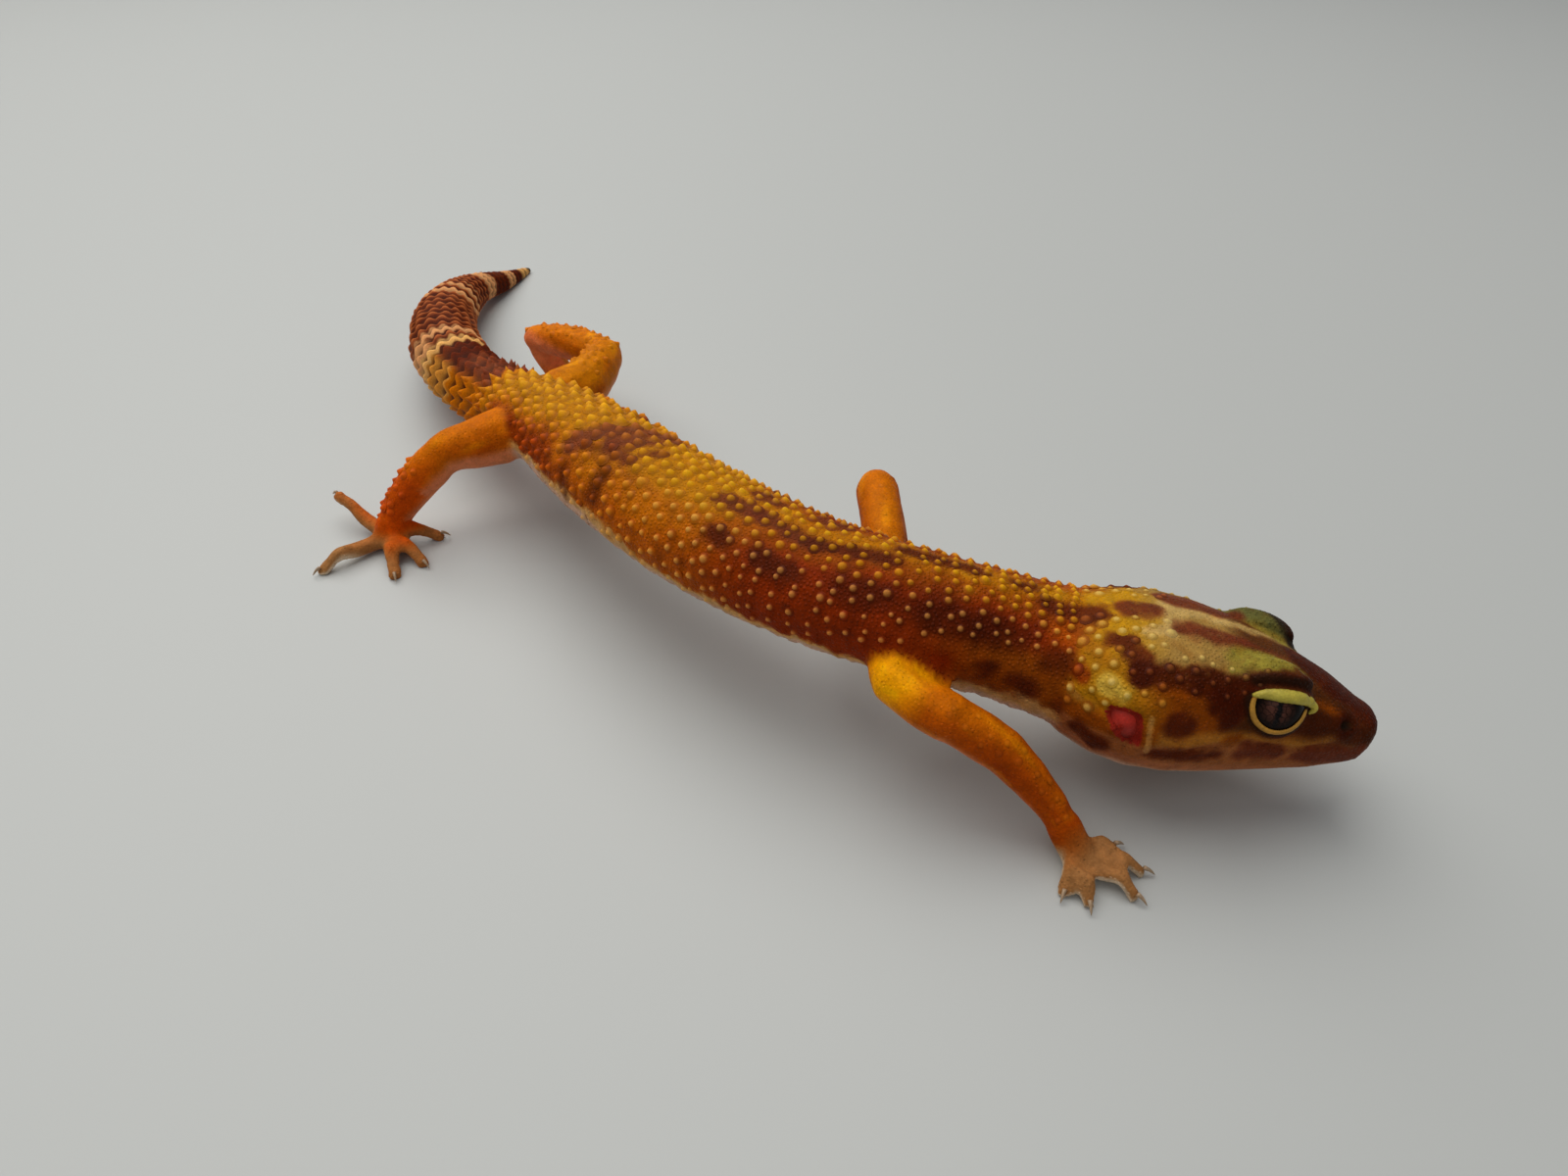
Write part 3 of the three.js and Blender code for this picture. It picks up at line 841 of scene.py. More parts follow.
def trunk_colour(where, places):
    along, angle = where["along"], where["angle"]
    side = off_ridge(along, angle)
    wide, fine = grain(places, 3.2, 1), grain(places, 0.8, 2)
    ramp = side + 9 * wide + 4 * fine
    middle_part, rear = ease(along, 28, 44), ease(along, 58, 70)
    colour = lay(np.broadcast_to(TONE["honey"], places.shape), "mustard", middle_part)
    flank = lay(np.broadcast_to(TONE["bronze"], places.shape), "amber", middle_part)
    low = lay(np.broadcast_to(TONE["rust"], places.shape), "copper", middle_part)
    low = lay(low, "garnet", rear)
    colour = lay(colour, flank, ease(ramp, 4 + 26 * middle_part, 26 + 32 * middle_part))
    low_from = 24 + 34 * middle_part - 12 * rear
    colour = lay(colour, low, ease(ramp, low_from, low_from + 28 + 4 * middle_part - 6 * rear))
    nape = fade(along + 1.2 * wide, 0.5, 5) * fade(ramp, 40, 80)
    colour = lay(colour, "orange", 0.7 * nape * ease(ramp, 4, 26))
    mottle = 0.45 * ease(grain(places, 2.4, 5), 0.0, 0.7) * fade(along, 24, 44)
    colour = lay(colour, "umber", mottle * ease(ramp, 24, 50) * fade(ramp, 84, 104))
    speck = 0.26 * ease(grain(places, 1.7, 23), 0.05, 0.75)
    colour = lay(colour, "umber", speck * ease(ramp, 14, 48) * fade(ramp, 96, 112))
    colour = lay(colour, "lemon", 0.34 * ease(grain(places, 1.6, 3), 0.1, 0.8) * fade(ramp, 14, 40))
    edge = np.interp(along, *CREAM_EDGE)
    neck = fade(along, 8, 18)
    colour = lay(colour, "cheek", neck * ease(ramp, 58, 80))
    colour = lay(colour, "jaw", 0.8 * neck * ease(ramp, 104, 120))
    colour = lay(colour, "cream", ease(ramp, edge - 9, edge - 1))
    colour = lay(colour, "belly", ease(ramp, edge - 2, edge + 12))
    flat = np.stack([along, np.radians(angle) * girth(along)], axis=1)
    blot = 0.38 * grain(places, 1.3, 4) + 0.18 * fine
    for path, half, tone, both in TRUNK_MARKS:
        for turned in (False, True) if both else (False,):
            ends = np.array(path, float)
            if turned:
                ends = np.stack([ends[:, 0] + 1.7, 2 * lean(ends[:, 0]) - ends[:, 1]], axis=1)
            ends[:, 1] = np.radians(ends[:, 1]) * girth(ends[:, 0])
            share = stroke(flat, ends, half, 0.75 if tone != "umber" else 1.1, blot)
            colour = lay(colour, tone, share * (0.88 if tone != "umber" else 0.6))
    return colour


WHORL_SCALLOPS = 16
WHORL_LENGTHS = ([88, 120, 150, 172], [3.0, 2.7, 2.1, 1.4])
WHORL_STARTS = [86.5]
while WHORL_STARTS[-1] < 173:
    WHORL_STARTS.append(WHORL_STARTS[-1] + np.interp(WHORL_STARTS[-1], *WHORL_LENGTHS))


def scallop(angle, row):
    """The wavy rear edge of a whorl: 1 at the point of a scale, 0 between two."""
    turn = np.radians(angle) * WHORL_SCALLOPS + 0.6 * np.sin(row * 1.7)
    turn = turn + 0.7 * np.sin(np.radians(angle) * 3 + row * 1.3)
    return (0.5 + 0.5 * np.cos(turn)) ** 0.7 * (0.86 + 0.14 * np.sin(np.radians(angle) * 5 + row * 2.3))


# The tail's rings, each up to a distance along the body: top and far side, then near side.
TAIL_RINGS = [
    (89, "golden", "golden"), (97, "plum", "amber"), (100.5, "plum", "amber"),
    (105.8, "blotch", "ivory"), (108.6, "blotch", "ivory"), (111.4, "cream", "cream"),
    (114.2, "blotch", "pale"), (117.0, "pale", "pale"),
    (136, "blotch", "blotch"), (138.6, "pale", "pale"), (141, "blotch", "blotch"), (142.8, "pale", "pale"),
    (145, "blotch", "blotch"), (146.2, "pale", "pale"), (154, "blotch", "blotch"), (159, "pale", "pale"),
    (165, "blotch", "blotch"), (168, "pale", "pale"), (171, "blotch", "blotch"), (174.6, "cream", "cream"),
    (180, "soot", "soot"),
]


def tail_colour(where, places):
    along, angle = where["along"], where["angle"]
    row = np.searchsorted(WHORL_STARTS, along)
    wave = along - 1.0 * scallop(angle, row) * fade(along, 140, 165) + 0.25 * grain(places, 1.5, 6)
    colour = np.broadcast_to(TONE["golden"], places.shape)
    start = 0
    near = ease(-angle + 8 * grain(places, 2, 7), 25, 50) * fade(-angle, 150, 175)
    for end, top, side in TAIL_RINGS:
        tone = TONE[top] + (TONE[side] - TONE[top]) * near[:, None]
        colour = lay(colour, tone, ease(wave, start - 0.18, start + 0.18))
        start = end
    colour = lay(colour, "plum", 0.35 * ease(grain(places, 1.1, 9), 0, 0.9) * (along > 116) * (along < 136))
    colour = lay(colour, "ridge", 0.3 * ease(grain(places, 2.2, 11), 0, 0.9) * (colour.mean(1) < 0.35))
    under = np.abs(angle) + 10 * grain(places, 1.5, 10)
    return lay(colour, "pink", 0.85 * ease(under, 118, 140))


LIMB_TONES = {
    "fore_r": [(-1, "orange"), (1.5, "leg_gold"), (4.5, "leg_gold"), (7.5, "leg_orange"),
               (14, "leg_brown"), (24, "leg_brown"), (28, "toe")],
    "fore_l": [(0, "copper"), (6, "copper"), (13, "leg_orange"), (21, "leg_brown"), (28, "toe")],
    "hind_r": [(0, "orange"), (3, "leg_orange"), (9, "orange"), (14, "leg_red"), (21, "leg_red"),
               (26, "toe")],
    "hind_l": [(0, "amber"), (8, "amber"), (20, "orange"), (33, "orange"), (42, "toe")],
}


def limb_colour(where, places):
    colour = np.tile(TONE["leg_orange"], (len(places), 1))
    for k, limb in enumerate(LIMBS):
        mine = where["kin"] == k
        marks, tones = zip(*LIMB_TONES[limb])
        tones = np.array([TONE[tone] for tone in tones])
        reach = where["reach"][mine] + 1.2 * grain(places[mine], 3, 12)
        colour[mine] = between(reach, marks, tones)
    streak = grain(np.stack([where["reach"] * 0.25, where["turn"] / 28, where["off"] * 0.2], 1), 1.0, 13)
    colour = lay(colour, "rust", 0.4 * ease(streak, 0.1, 0.9) * (1 - where["foot"]))
    colour = lay(colour, "leg_gold", 0.45 * ease(-streak, 0.15, 0.8) * (1 - where["foot"]))
    # painted highlight: upward-facing skin of the legs turned more golden
    colour = lay(colour, "leg_gold", 0.3 * ease(where["normal"][:, 2], 0.4, 0.95) * (1 - where["foot"]))
    colour = lay(colour, "toe", 0.85 * ease(where["foot"], 0.5, 1) * ease(-places[:, 2], -3.2, -1.6))
    down = -where["normal"][:, 2]
    thigh = (where["kin"] >= 2) & (where["reach"] < 14)
    colour = lay(colour, "pink", 0.8 * ease(down + 0.3 * thigh, 0.1, 0.6) * (1 - 0.6 * where["foot"]))
    away = -0.75 * where["normal"][:, 0] - 0.5 * where["normal"][:, 1]
    toes = ease(where["reach"], 25, 27) * ease(where["foot"], 0.75, 1)
    colour = lay(colour, "sole", ease(down, -0.5, 0.1) * toes)
    # painted light: the inner face of the left hind leg glows pink as if lit through thin skin, orange lower
    # down, with a pale painted highlight line along the crease between
    inner = (where["kin"] == 3) * ease(where["reach"], 16, 20) * ease(away, 0.0, 0.4)
    colour = lay(colour, "glow", inner * fade(places[:, 2], 11, 13) * ease(places[:, 2], 2, 3))
    crease = bump(places[:, 2] - 7 - 0.5 * grain(places, 3, 24), 0.5)
    return lay(colour, "leg_orange", 0.6 * inner * fade(places[:, 2], 4, 8) * (1 - crease))


def onto_skin(path):
    """Moves the points of a mark in the head's frame to the nearest skin."""
    spots = [SKIN["tree"].find_nearest(Vector(place))[0] for place in HEAD.place(path)]
    return HEAD.measure(np.array(spots))


def head_colour(where, places):
    local = where["local"]
    x, y, z = local.T
    wide, fine = grain(places, 2.6, 14), grain(places, 0.7, 15)
    mirror = mirrored(local)
    colour = np.broadcast_to(TONE["tan"], places.shape)
    colour = lay(colour, "nape", 1 - ease(x + 1.2 * wide, 3, 8))
    colour = lay(colour, "bronze", 0.85 * fade(x + 1.2 * wide, -0.5, 2.6) * ease(np.abs(y), 1.5, 4))
    cheek = ease(-z + 0.5 * wide, -5.4, -3.8) * ease(np.abs(y), 4, 6.5)
    colour = lay(colour, "cheek", cheek)
    colour = lay(colour, "nape", cheek * fade(x + wide, 4, 9) * ease(z, -1, 1) * 0.75)
    snout = 0.9 * ease(x + 0.6 * wide, 12.5, 15.5) * fade(x, 28, 30)
    colour = lay(colour, "snout", snout * ease(z, -1.2, 0.6))
    colour = lay(colour, "snout", 0.85 * ease(x, 21, 23) * ease(z, -1.6, -0.2))
    colour = lay(colour, "umber", 0.5 * ease(x, 17, 19) * ease(3.2 - z, 0, 1.2))
    pale = ease(0.4 - z + 0.5 * wide, -0.3, 0.9) * ease(np.abs(y), 3, 5) * fade(x, 24, 27)
    colour = lay(colour, "ivory", 0.75 * pale * ease(x, 7.6, 9))
    lip = np.interp(x, [6, 10, 14, 18, 22, 29], [-1.9, -1.6, -0.8, -0.7, -1.0, -1.2])
    colour = lay(colour, "jaw", ease(lip - z + 0.35 * wide, -0.3, 0.6) * 0.9)
    colour = lay(colour, "pink", 0.3 * ease(-z, 3.6, 5.0))
    colour = lay(colour, "belly", ease(-z + 0.4 * wide, 5.0, 6.6))
    blot = 0.4 * grain(places, 1.2, 16) + 0.22 * fine
    for path, half, tone, both in HEAD_MARKS:
        share = stroke(mirror if both else local, onto_skin(path), half, 0.52, blot)
        speckle = 0.22 * ease(grain(places, 0.6, 20), 0.1, 0.8) * (mirror[:, 0] < 21)
        colour = lay(colour, tone, share * ((0.92 if tone != "moss" else 0.75) - speckle))
    colour = lay(colour, "cheek", 0.15 * ease(grain(places, 0.9, 19), 0.2, 0.9) * (z > 1))
    for eye in EYES:
        flat = eye.measure(places)
        hood = gap_to(flat[:, :2], over_lid(1.45))
        brow = gap_to(flat[:, :2], over_lid(2.9, 1.1, 0.8))
        rim = np.abs(outside(flat[:, :2], APERTURE))
        front = (flat[:, 2] > 0) & (np.hypot(flat[:, 0], flat[:, 1]) < 5)
        colour = lay(colour, "moss", 0.8 * front * fade(brow + blot, 0.5, 0.9) * (eye.side < 0))
        colour = lay(colour, "umber", 0.9 * front * fade(hood + 0.3 * blot, 0.45, 0.95))
        colour = lay(colour, "soot", 0.6 * front * fade(hood + 0.3 * blot, 0.2, 0.8))
        # dark round the edge of the opening: partly dark skin, partly painted shadow in the socket
        colour = lay(colour, "soot", 0.7 * front * fade(rim, 0.3, 0.9))
    rim = gap_to(mirror[:, [0, 2]], [(7.2, 1.0), (7.5, -0.8), (7.9, -2.9)])
    colour = lay(colour, "cream", 0.6 * fade(rim, 0.15, 0.4) * (mirror[:, 1] > 6))
    return lay(colour, "ear", 1.0 * (inside(mirror[:, [0, 2]], EAR) & by_ear(local)))


def skin_colour(where, places):
    colour = trunk_colour(where, places)
    colour = lay(colour, tail_colour(where, places), where["tail"])
    near = np.abs(where["local"][:, 1]) < 14
    colour = lay(colour, head_colour(where, places), where["head"] * near)
    colour = lay(colour, limb_colour(where, places), ease(where["limb"], 0.2, 0.8))
    shade = 1 + 0.07 * grain(places, 1.0, 17) + 0.05 * grain(places, 0.45, 18)
    return colour * shade[:, None]


skin = make_skin()
sculpt_head(skin)
SKIN = regions(read(skin), edges(skin))
sculpt_body(skin, SKIN)
sculpt_toes(skin, SKIN)
SKIN["place"], SKIN["normal"] = read(skin), normals(skin)
SKIN["facets"] = facets(skin)
SKIN["tree"] = BVHTree.FromPolygons([Vector(p) for p in SKIN["place"]], SKIN["facets"].tolist())
SKIN["colour"] = skin_colour(SKIN, SKIN["place"])
pigment(skin, SKIN["colour"])
for node in FLESH:
    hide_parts(node)
smooth(skin)


def wear(obj, finish):
    """Fixes a finished piece to the body and its material."""
    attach(obj, "root")
    obj.data.materials.clear()
    obj.data.materials.append(finish)


# ---- Materials ----

class Socket:
    """A socket of a material's node, with arithmetic that adds the nodes it needs."""

    def __init__(self, finish, socket):
        self.finish, self.socket = finish, socket

    def __mul__(self, other):
        kind = {"operation": "MULTIPLY"}
        return self.finish.node("ShaderNodeMath", kind, {0: self, 1: other})

    __rmul__ = __mul__


class Finish:
    """A material, built from one call for each node."""

    def __init__(self, name, **constants):
        self.material = bpy.data.materials.new(name)
        self.material.use_nodes = True
        self.tree = self.material.node_tree
        self.shader = self.tree.nodes["Principled BSDF"]
        for key, value in constants.items():
            self.shader.inputs[key.replace("_", " ")].default_value = value

    def node(self, kind, settings=None, inputs=None, output=0):
        node = self.tree.nodes.new(kind)
        for key, value in (settings or {}).items():
            setattr(node, key, value)
        for key, value in (inputs or {}).items():
            self.feed(node.inputs[key], value)
        return Socket(self, node.outputs[output])

    def feed(self, target, value):
        if isinstance(value, Socket):
            self.tree.links.new(value.socket, target)
        else:
            target.default_value = value

    def out(self, name, value):
        self.feed(self.shader.inputs[name], value)

    def place(self):
        return self.node("ShaderNodeTexCoord", output="Object")

    def mix(self, share, a, b, blend="MIX"):
        settings = {"data_type": "RGBA", "blend_type": blend}
        return self.node("ShaderNodeMix", settings, {0: share, 6: a, 7: b}, output=2)

    def shaded(self, colour, light):
        grey = self.node("ShaderNodeCombineColor", None, {0: light, 1: light, 2: light})
        return self.mix(1.0, colour, grey, "MULTIPLY")

    def painted(self, name):
        return self.node("ShaderNodeAttribute", {"attribute_name": name})

    def noise(self, spot, scale, detail, roughness=0.5):
        inputs = {"Vector": spot, "Scale": scale, "Detail": detail, "Roughness": roughness}
        return self.node("ShaderNodeTexNoise", None, inputs)

    def remap(self, value, first, last, low=0.3, high=0.7):
        """Turns values between low and high into values between first and last."""
        return self.node("ShaderNodeMapRange", None, {0: value, 1: low, 2: high, 3: first, 4: last})

    def bumps(self, height, depth, strength, invert=False):
        inputs = {"Strength": strength, "Distance": depth * MM, "Height": height}
        self.out("Normal", self.node("ShaderNodeBump", {"invert": invert}, inputs))


def hide_finish(name, roughness, cell, depth, gloss=0.03):
    """Pigmented hide: the laid-on pigment, mottled finely and darkened at the cells' edges as painted shade
    in the grooves, over fine granular bumps.
    """
    radius = (1.0, 0.45, 0.25)
    hide = Finish(name, Subsurface_Weight=0.05, Subsurface_Scale=0.001, Subsurface_Radius=radius,
                  Specular_IOR_Level=gloss)
    spot = hide.place()
    mottle = hide.noise(spot, 1400, 3, 0.6)
    grid = {"Vector": spot, "Scale": 1 / (cell * MM)}
    cells = hide.node("ShaderNodeTexVoronoi", None, grid, output="Distance")
    # random mottle, times a painted shade that darkens the grooves at the cells' edges
    light = hide.remap(mottle, 0.91, 1.08) * hide.remap(cells, 1.02, 0.88, 0.25, 0.75)
    hide.out("Base Color", hide.shaded(hide.painted("pigment"), light))
    hide.out("Roughness", hide.remap(mottle, roughness - 0.06, roughness + 0.08))
    hide.bumps(cells, depth, 0.5, invert=True)
    return hide.material


SKIN_FINISH = hide_finish("hide", 0.5, 0.3, 0.09)
SCALE_FINISH = hide_finish("scales", 0.46, 0.16, 0.03, 0.06)
LID_FINISH = hide_finish("lid_scales", 0.45, 0.24, 0.06, 0.2)
wear(skin, SKIN_FINISH)


def eye_finish():
    """A dark brown-grey iris with fine veins, barely glossy."""
    eye = Finish("eye", Coat_Weight=0.06, Coat_Roughness=0.06, Specular_IOR_Level=0.05)
    spot = eye.place()
    veins = eye.noise(spot, 2600, 5, 0.7)
    web = eye.node("ShaderNodeTexVoronoi", {"feature": "DISTANCE_TO_EDGE"}, {"Vector": spot, "Scale": 1500})
    light = eye.remap(veins, 0.5, 1.3) * eye.remap(web, 0.35, 1.2, 0.0, 0.12)
    eye.out("Base Color", eye.shaded(eye.painted("iris"), light))
    eye.out("Roughness", eye.remap(veins, 0.22, 0.4))
    eye.bumps(veins, 0.05, 0.2)
    return eye.material


def claw_finish():
    claw = Finish("claw", Specular_IOR_Level=0.5)
    veins = claw.noise(claw.place(), 3000, 2)
    tones = [(*as_light(tone).tolist(), 1) for tone in ((0.50, 0.38, 0.28), (0.78, 0.66, 0.52))]
    claw.out("Base Color", claw.mix(veins, *tones))
    claw.out("Roughness", claw.remap(veins, 0.3, 0.45))
    return claw.material


EYE_FINISH = eye_finish()
CLAW_FINISH = claw_finish()


# ---- Eyes, lids, eardrums and claws ----

IRIS = plain((84, 50, 40))
IRIS_OUTER = plain((40, 22, 16))
IRIS_EDGE_SHADOW = plain((12, 6, 4))
PUPIL = plain((24, 20, 20))


def make_eyeball(eye):
    obj = ball("eyeball_" + eye.name, 0, eye.radius, 64)
    flat = read(obj)
    write(obj, eye.place(flat))
    across = np.linalg.norm(flat[:, :2], axis=1)
    slit = 0.28 * np.sqrt(np.clip(1 - (flat[:, 1] / 2.1) ** 2, 0, 1)) + 0.05 * np.sin(flat[:, 1] * 9)
    colour = lay(np.broadcast_to(IRIS, flat.shape), IRIS_OUTER, ease(across, 0.5, 1.6))
    # painted shadow of the lids round the edge of the iris
    colour = lay(colour, IRIS_EDGE_SHADOW, ease(across, 1.4, 1.9))
    colour = lay(colour, PUPIL, 1 - ease(np.abs(flat[:, 0] - 0.1), slit - 0.1, slit + 0.07))
    pigment(obj, colour, "iris")
    face_out(obj)
    smooth(obj)
    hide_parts(f"eye_{eye.name}")
    wear(obj, EYE_FINISH)


def curve_through(points, count):
    """Evenly spaced points on a smooth curve through a few points."""
    points = np.array(points, float)
    reach = lengths_to(points)
    spread = np.linspace(0, reach[-1], count)
    slope = np.gradient(points, reach, axis=0)
    i = np.clip(np.searchsorted(reach, spread) - 1, 0, len(points) - 2)
    span = (reach[i + 1] - reach[i])[:, None]
    t = ((spread - reach[i]) / (reach[i + 1] - reach[i]))[:, None]
    a, b = points[i], points[i + 1]
    u, v = slope[i] * span, slope[i + 1] * span
    bent = a * (2 * t**3 - 3 * t**2 + 1) + u * (t**3 - 2 * t**2 + t)
    bent = bent + b * (3 * t**2 - 2 * t**3) + v * (t**3 - t**2)
    return bent, np.interp(spread, reach, np.arange(len(points)))


LID_START = 7  # rays towards the eyeball start this far out along its axis
LID_REACH = 9
LID_MESH = (72, 14)  # points along a lid and round it


def make_lid(eye, name, path, halves, lift, tone, rim):
    """A rounded fold of scaly skin along the edge of the opening."""
    count, around = LID_MESH
    line, at = curve_through(path, count)
    half = np.interp(at, range(len(halves)), halves)
    half *= np.clip(np.sin(np.linspace(0.18, np.pi - 0.18, count)) * 3.5, 0, 1)
    ahead = unit(np.gradient(line, axis=0))
    across = np.stack([-ahead[:, 1], ahead[:, 0]], axis=1)
    turn = np.linspace(0, 2 * np.pi, around, endpoint=False)
    bead = 1 + 0.02 * np.cos(np.linspace(0, count * 1.1, count))[:, None]
    flat = line[:, None] + across[:, None] * (half[:, None] * np.cos(turn) * bead)[..., None]
    flat = flat.reshape(-1, 2)
    rise = (np.sin(turn) * lift * bead * np.clip(half / 0.3, 0.3, 1)[:, None]).ravel()
    ball_height = np.sqrt(np.clip((eye.radius + 0.06) ** 2 - (flat**2).sum(1), 0, None))
    skin_height = np.zeros(len(flat))
    for i, (p, r) in enumerate(flat):
        start = eye.place((p, r, LID_START))
        hit = SKIN["tree"].ray_cast(Vector(start), Vector(-eye.out), LID_REACH)
        skin_height[i] = LID_START - hit[3] if hit[0] else 0
    height = np.maximum(ball_height, np.minimum(skin_height, ball_height + 1.2))
    grid = height.reshape(count, around)
    grid = np.broadcast_to(grid.mean(1, keepdims=True), grid.shape) * 0.35 + grid * 0.65
    for _ in range(3):
        grid[1:-1] = (grid[:-2] + 2 * grid[1:-1] + grid[2:]) / 4
    local = np.column_stack([flat, grid.ravel() + rise + 0.04])
    places = eye.place(local)
    # painted shade: each lid takes its darker rim tone everywhere but along its top
    shade = np.tile(np.sin(turn), count)
    colour = lay(np.broadcast_to(plain(tone), places.shape), plain(rim), 0.7 * fade(shade, -0.2, 0.7))
    colour = colour * (1 + 0.08 * grain(places, 0.5, 30))[:, None]
    lid = build(name, places, tube(count, around), colour)
    face_out(lid)
    wear(lid, LID_FINISH)


# name: path, half width along it, height, tone, and the rim tone, painted as shade over all but the lid's
# top
LIDS = {
    "lower_lid": (LOWER_LID, LOWER_LID_HALF, 0.24, (190, 138, 52), (104, 60, 20)),
    "upper_lid": (UPPER_LID, UPPER_LID_HALF, 0.36, (196, 178, 70), (118, 98, 36)),
}
for eye in EYES:
    make_eyeball(eye)
    for name, (path, halves, lift, tone, rim) in LIDS.items():
        make_lid(eye, f"{name}_{eye.name}", path, halves, lift, tone, rim)


EARDRUM_MESH = (40, 9)  # points round an eardrum, and rings
EARDRUM_DEPTH = 0.5


def make_eardrum(side):
    """The red skin across the bottom of the ear's opening."""
    sign = SIDES[side]
    heart = np.mean(EAR, axis=0)
    around, rings = EARDRUM_MESH
    rim, _ = curve_through(EAR + EAR[:1], around + 1)
    share = np.repeat(np.linspace(0.02, 1.1, rings), around)
    places = []
    for x, z in heart + (np.tile(rim[:-1], (rings, 1)) - heart) * share[:, None]:
        start = HEAD.place((x, sign * 16, z))
        places.append(SKIN["tree"].ray_cast(Vector(start), Vector(-sign * HEAD.y), 12)[0])
    local = HEAD.measure(np.array(places))
    x, _, z = local.T
    shape = np.column_stack([x, z, np.ones(len(local)), x**2, z**2])
    fit = np.linalg.lstsq(shape[share < 0.8], local[share < 0.8, 1], rcond=None)[0]
    front = local * [1, 0, 1] + (shape @ fit + sign * (0.1 - 0.14 * share))[:, None] * [0, 1, 0]
    back = front - np.array([0, sign * EARDRUM_DEPTH, 0])
    places = HEAD.place(np.concatenate([front, back]))
    sheet = np.concatenate([strip(rings, around), cap(0, around)])
    turn = len(front) - around + np.arange(around)
    after = len(front) - around + (np.arange(around) + 1) % around
    wall = [np.stack([turn, after, len(front) + turn], 1),
            np.stack([after, len(front) + after, len(front) + turn], 1)]
    corners = np.concatenate([sheet, sheet[:, ::-1] + len(front), *wall])
    colour = np.broadcast_to(TONE["ear"], places.shape) * (1 + 0.3 * grain(places, 1.1, 31))[:, None]
    # painted shade: darker towards the rim, where the opening's edge overhangs the eardrum
    colour = lay(colour, "umber", 0.5 * ease(np.tile(share, 2), 0.6, 1.0))
    obj = build("eardrum_" + side, places, corners, colour)
    face_out(obj)
    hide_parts("ear_" + side)
    wear(obj, LID_FINISH)


for side in SIDES:
    make_eardrum(side)


CLAW_MESH = (7, 10)  # rings of a claw, and points round it
CLAW_ROOT = 0.5  # how deep a claw starts in its toe


def make_claws(limb):
    """The five claws of a foot: short hooked cones that come out of the toes."""
    count, around = CLAW_MESH
    rows, sheets = [], []
    for toe in TOES:
        node = f"claw_{limb}_{toe}"
        here = places_of(node)
        foot = middle(limb + "_foot")
        spread = here - here.mean(0)
        way = np.linalg.eigh(spread.T @ spread)[1][:, -1]
        if way @ (here.mean(0) - foot) < 0:
            way = -way
        reach = spread @ way
        base = here.mean(0) + way * (reach.min() - CLAW_ROOT)
        tip = here[reach > reach.max() - 0.12].mean(0) - way * 0.5
        bend = np.linspace(0, 1, count)[:, None]
        line = base + (tip - base) * bend + np.array([0, 0, 0.16]) * np.sin(np.pi * bend)
        left = unit(np.cross(way, [0, 0, 1]))
        above = np.cross(left, way)
        width = 0.21 * (1 - bend[:, 0]) ** 0.7 + 0.03
        turn = np.linspace(0, 2 * np.pi, around, endpoint=False)
        ring = np.cos(turn)[:, None] * left + 1.15 * np.sin(turn)[:, None] * above
        rows.append((line[:, None] + width[:, None, None] * ring).reshape(-1, 3))
        sheets.append(tube(count, around) + (toe - 1) * count * around)
    places = np.concatenate(rows)
    places[:, 2] = np.maximum(places[:, 2], FLOOR_GAP)
    obj = build("claws_" + limb, places, np.concatenate(sheets))
    face_out(obj)
    for toe in TOES:
        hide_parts(f"claw_{limb}_{toe}")
    wear(obj, CLAW_FINISH)


for limb in LIMBS:
    make_claws(limb)


# ---- The coat: tubercles, tail whorls and small scales ----

SPREAD = 0.0082  # millimetres of skin to the unwrap
PATCH = 0.0015  # half the width of a scale's patch on the unwrap
SCALE_FOOT = -0.2  # how far down its ball a scale is cut off
UNDERSIDE = 0.02  # an underside's patch beside its scale's, at the edge of it


def unwrap(at):
    """Where skin vertices lie on a flat spread of the skin: head and trunk, tail, then each limb."""
    along, angle, part = SKIN["along"][at], np.radians(SKIN["angle"][at]), SKIN["part"][at]
    u, v = (along + 32) * SPREAD, 0.24 + angle * 7.8 * SPREAD
    tail = part == 2
    u, v = np.where(tail, 0.01 + (along - 82) * SPREAD, u), np.where(tail, 0.65 + angle * 5 * SPREAD, v)
    limb = part > 2
    turn = np.radians(SKIN["turn"][at])
    u = np.where(limb, 0.02 + 0.25 * (part - 3) + (SKIN["reach"][at] + 3) * SPREAD * 0.55, u)
    v = np.where(limb, 0.895 + turn * 3.4 * SPREAD * 0.6, v)
    return np.stack([u, v], axis=1)


def model_scale(kind, around, levels):
    """One scale, part of a ball: its points, its triangles and the patch it takes on the unwrap."""
    obj = sphere(1, around, levels)
    below = {"plane_co": (0, 0, SCALE_FOOT), "plane_no": (0, 0, 1), "clear_inner": True, "use_fill": True}
    edit(obj, (bpy.ops.mesh.bisect, below), (bpy.ops.mesh.quads_convert_to_tris, {}))
    face_out(obj)
    co = read(obj) * MM
    sheets = np.array([list(p.vertices) for p in obj.data.polygons])
    wide = np.hypot(co[:, 0], co[:, 1])
    patch = co[sheets][:, :, :2]
    under = (co[sheets][:, :, 2] < SCALE_FOOT + 0.01).all(axis=1)
    patch[under] = patch[under] * UNDERSIDE + (1 - UNDERSIDE, 0)  # clear of the top
    if kind == "tubercle":
        co[:, 2] = np.where(co[:, 2] > 0, 0.5 + 0.5 * np.cos(np.pi * np.minimum(wide, 1)), co[:, 2])
    if kind == "cone":
        co[:, 2] = np.where(co[:, 2] > 0, 1 - wide**0.85, co[:, 2] * 1.2)
    bpy.data.objects.remove(obj)
    return co, sheets, patch.reshape(-1, 2)


def colour_at(roots, at):
    """The skin's markings at places on it, finer than its mesh holds them."""
    keys = ("head", "tail", "limb", "foot", "kin", "reach", "turn", "off", "normal")
    where = {key: SKIN[key][at] for key in keys}
    where["along"], where["angle"], where["out"] = SPINE.measure(roots)
    where["local"] = HEAD.measure(roots)
    return skin_colour(where, roots)


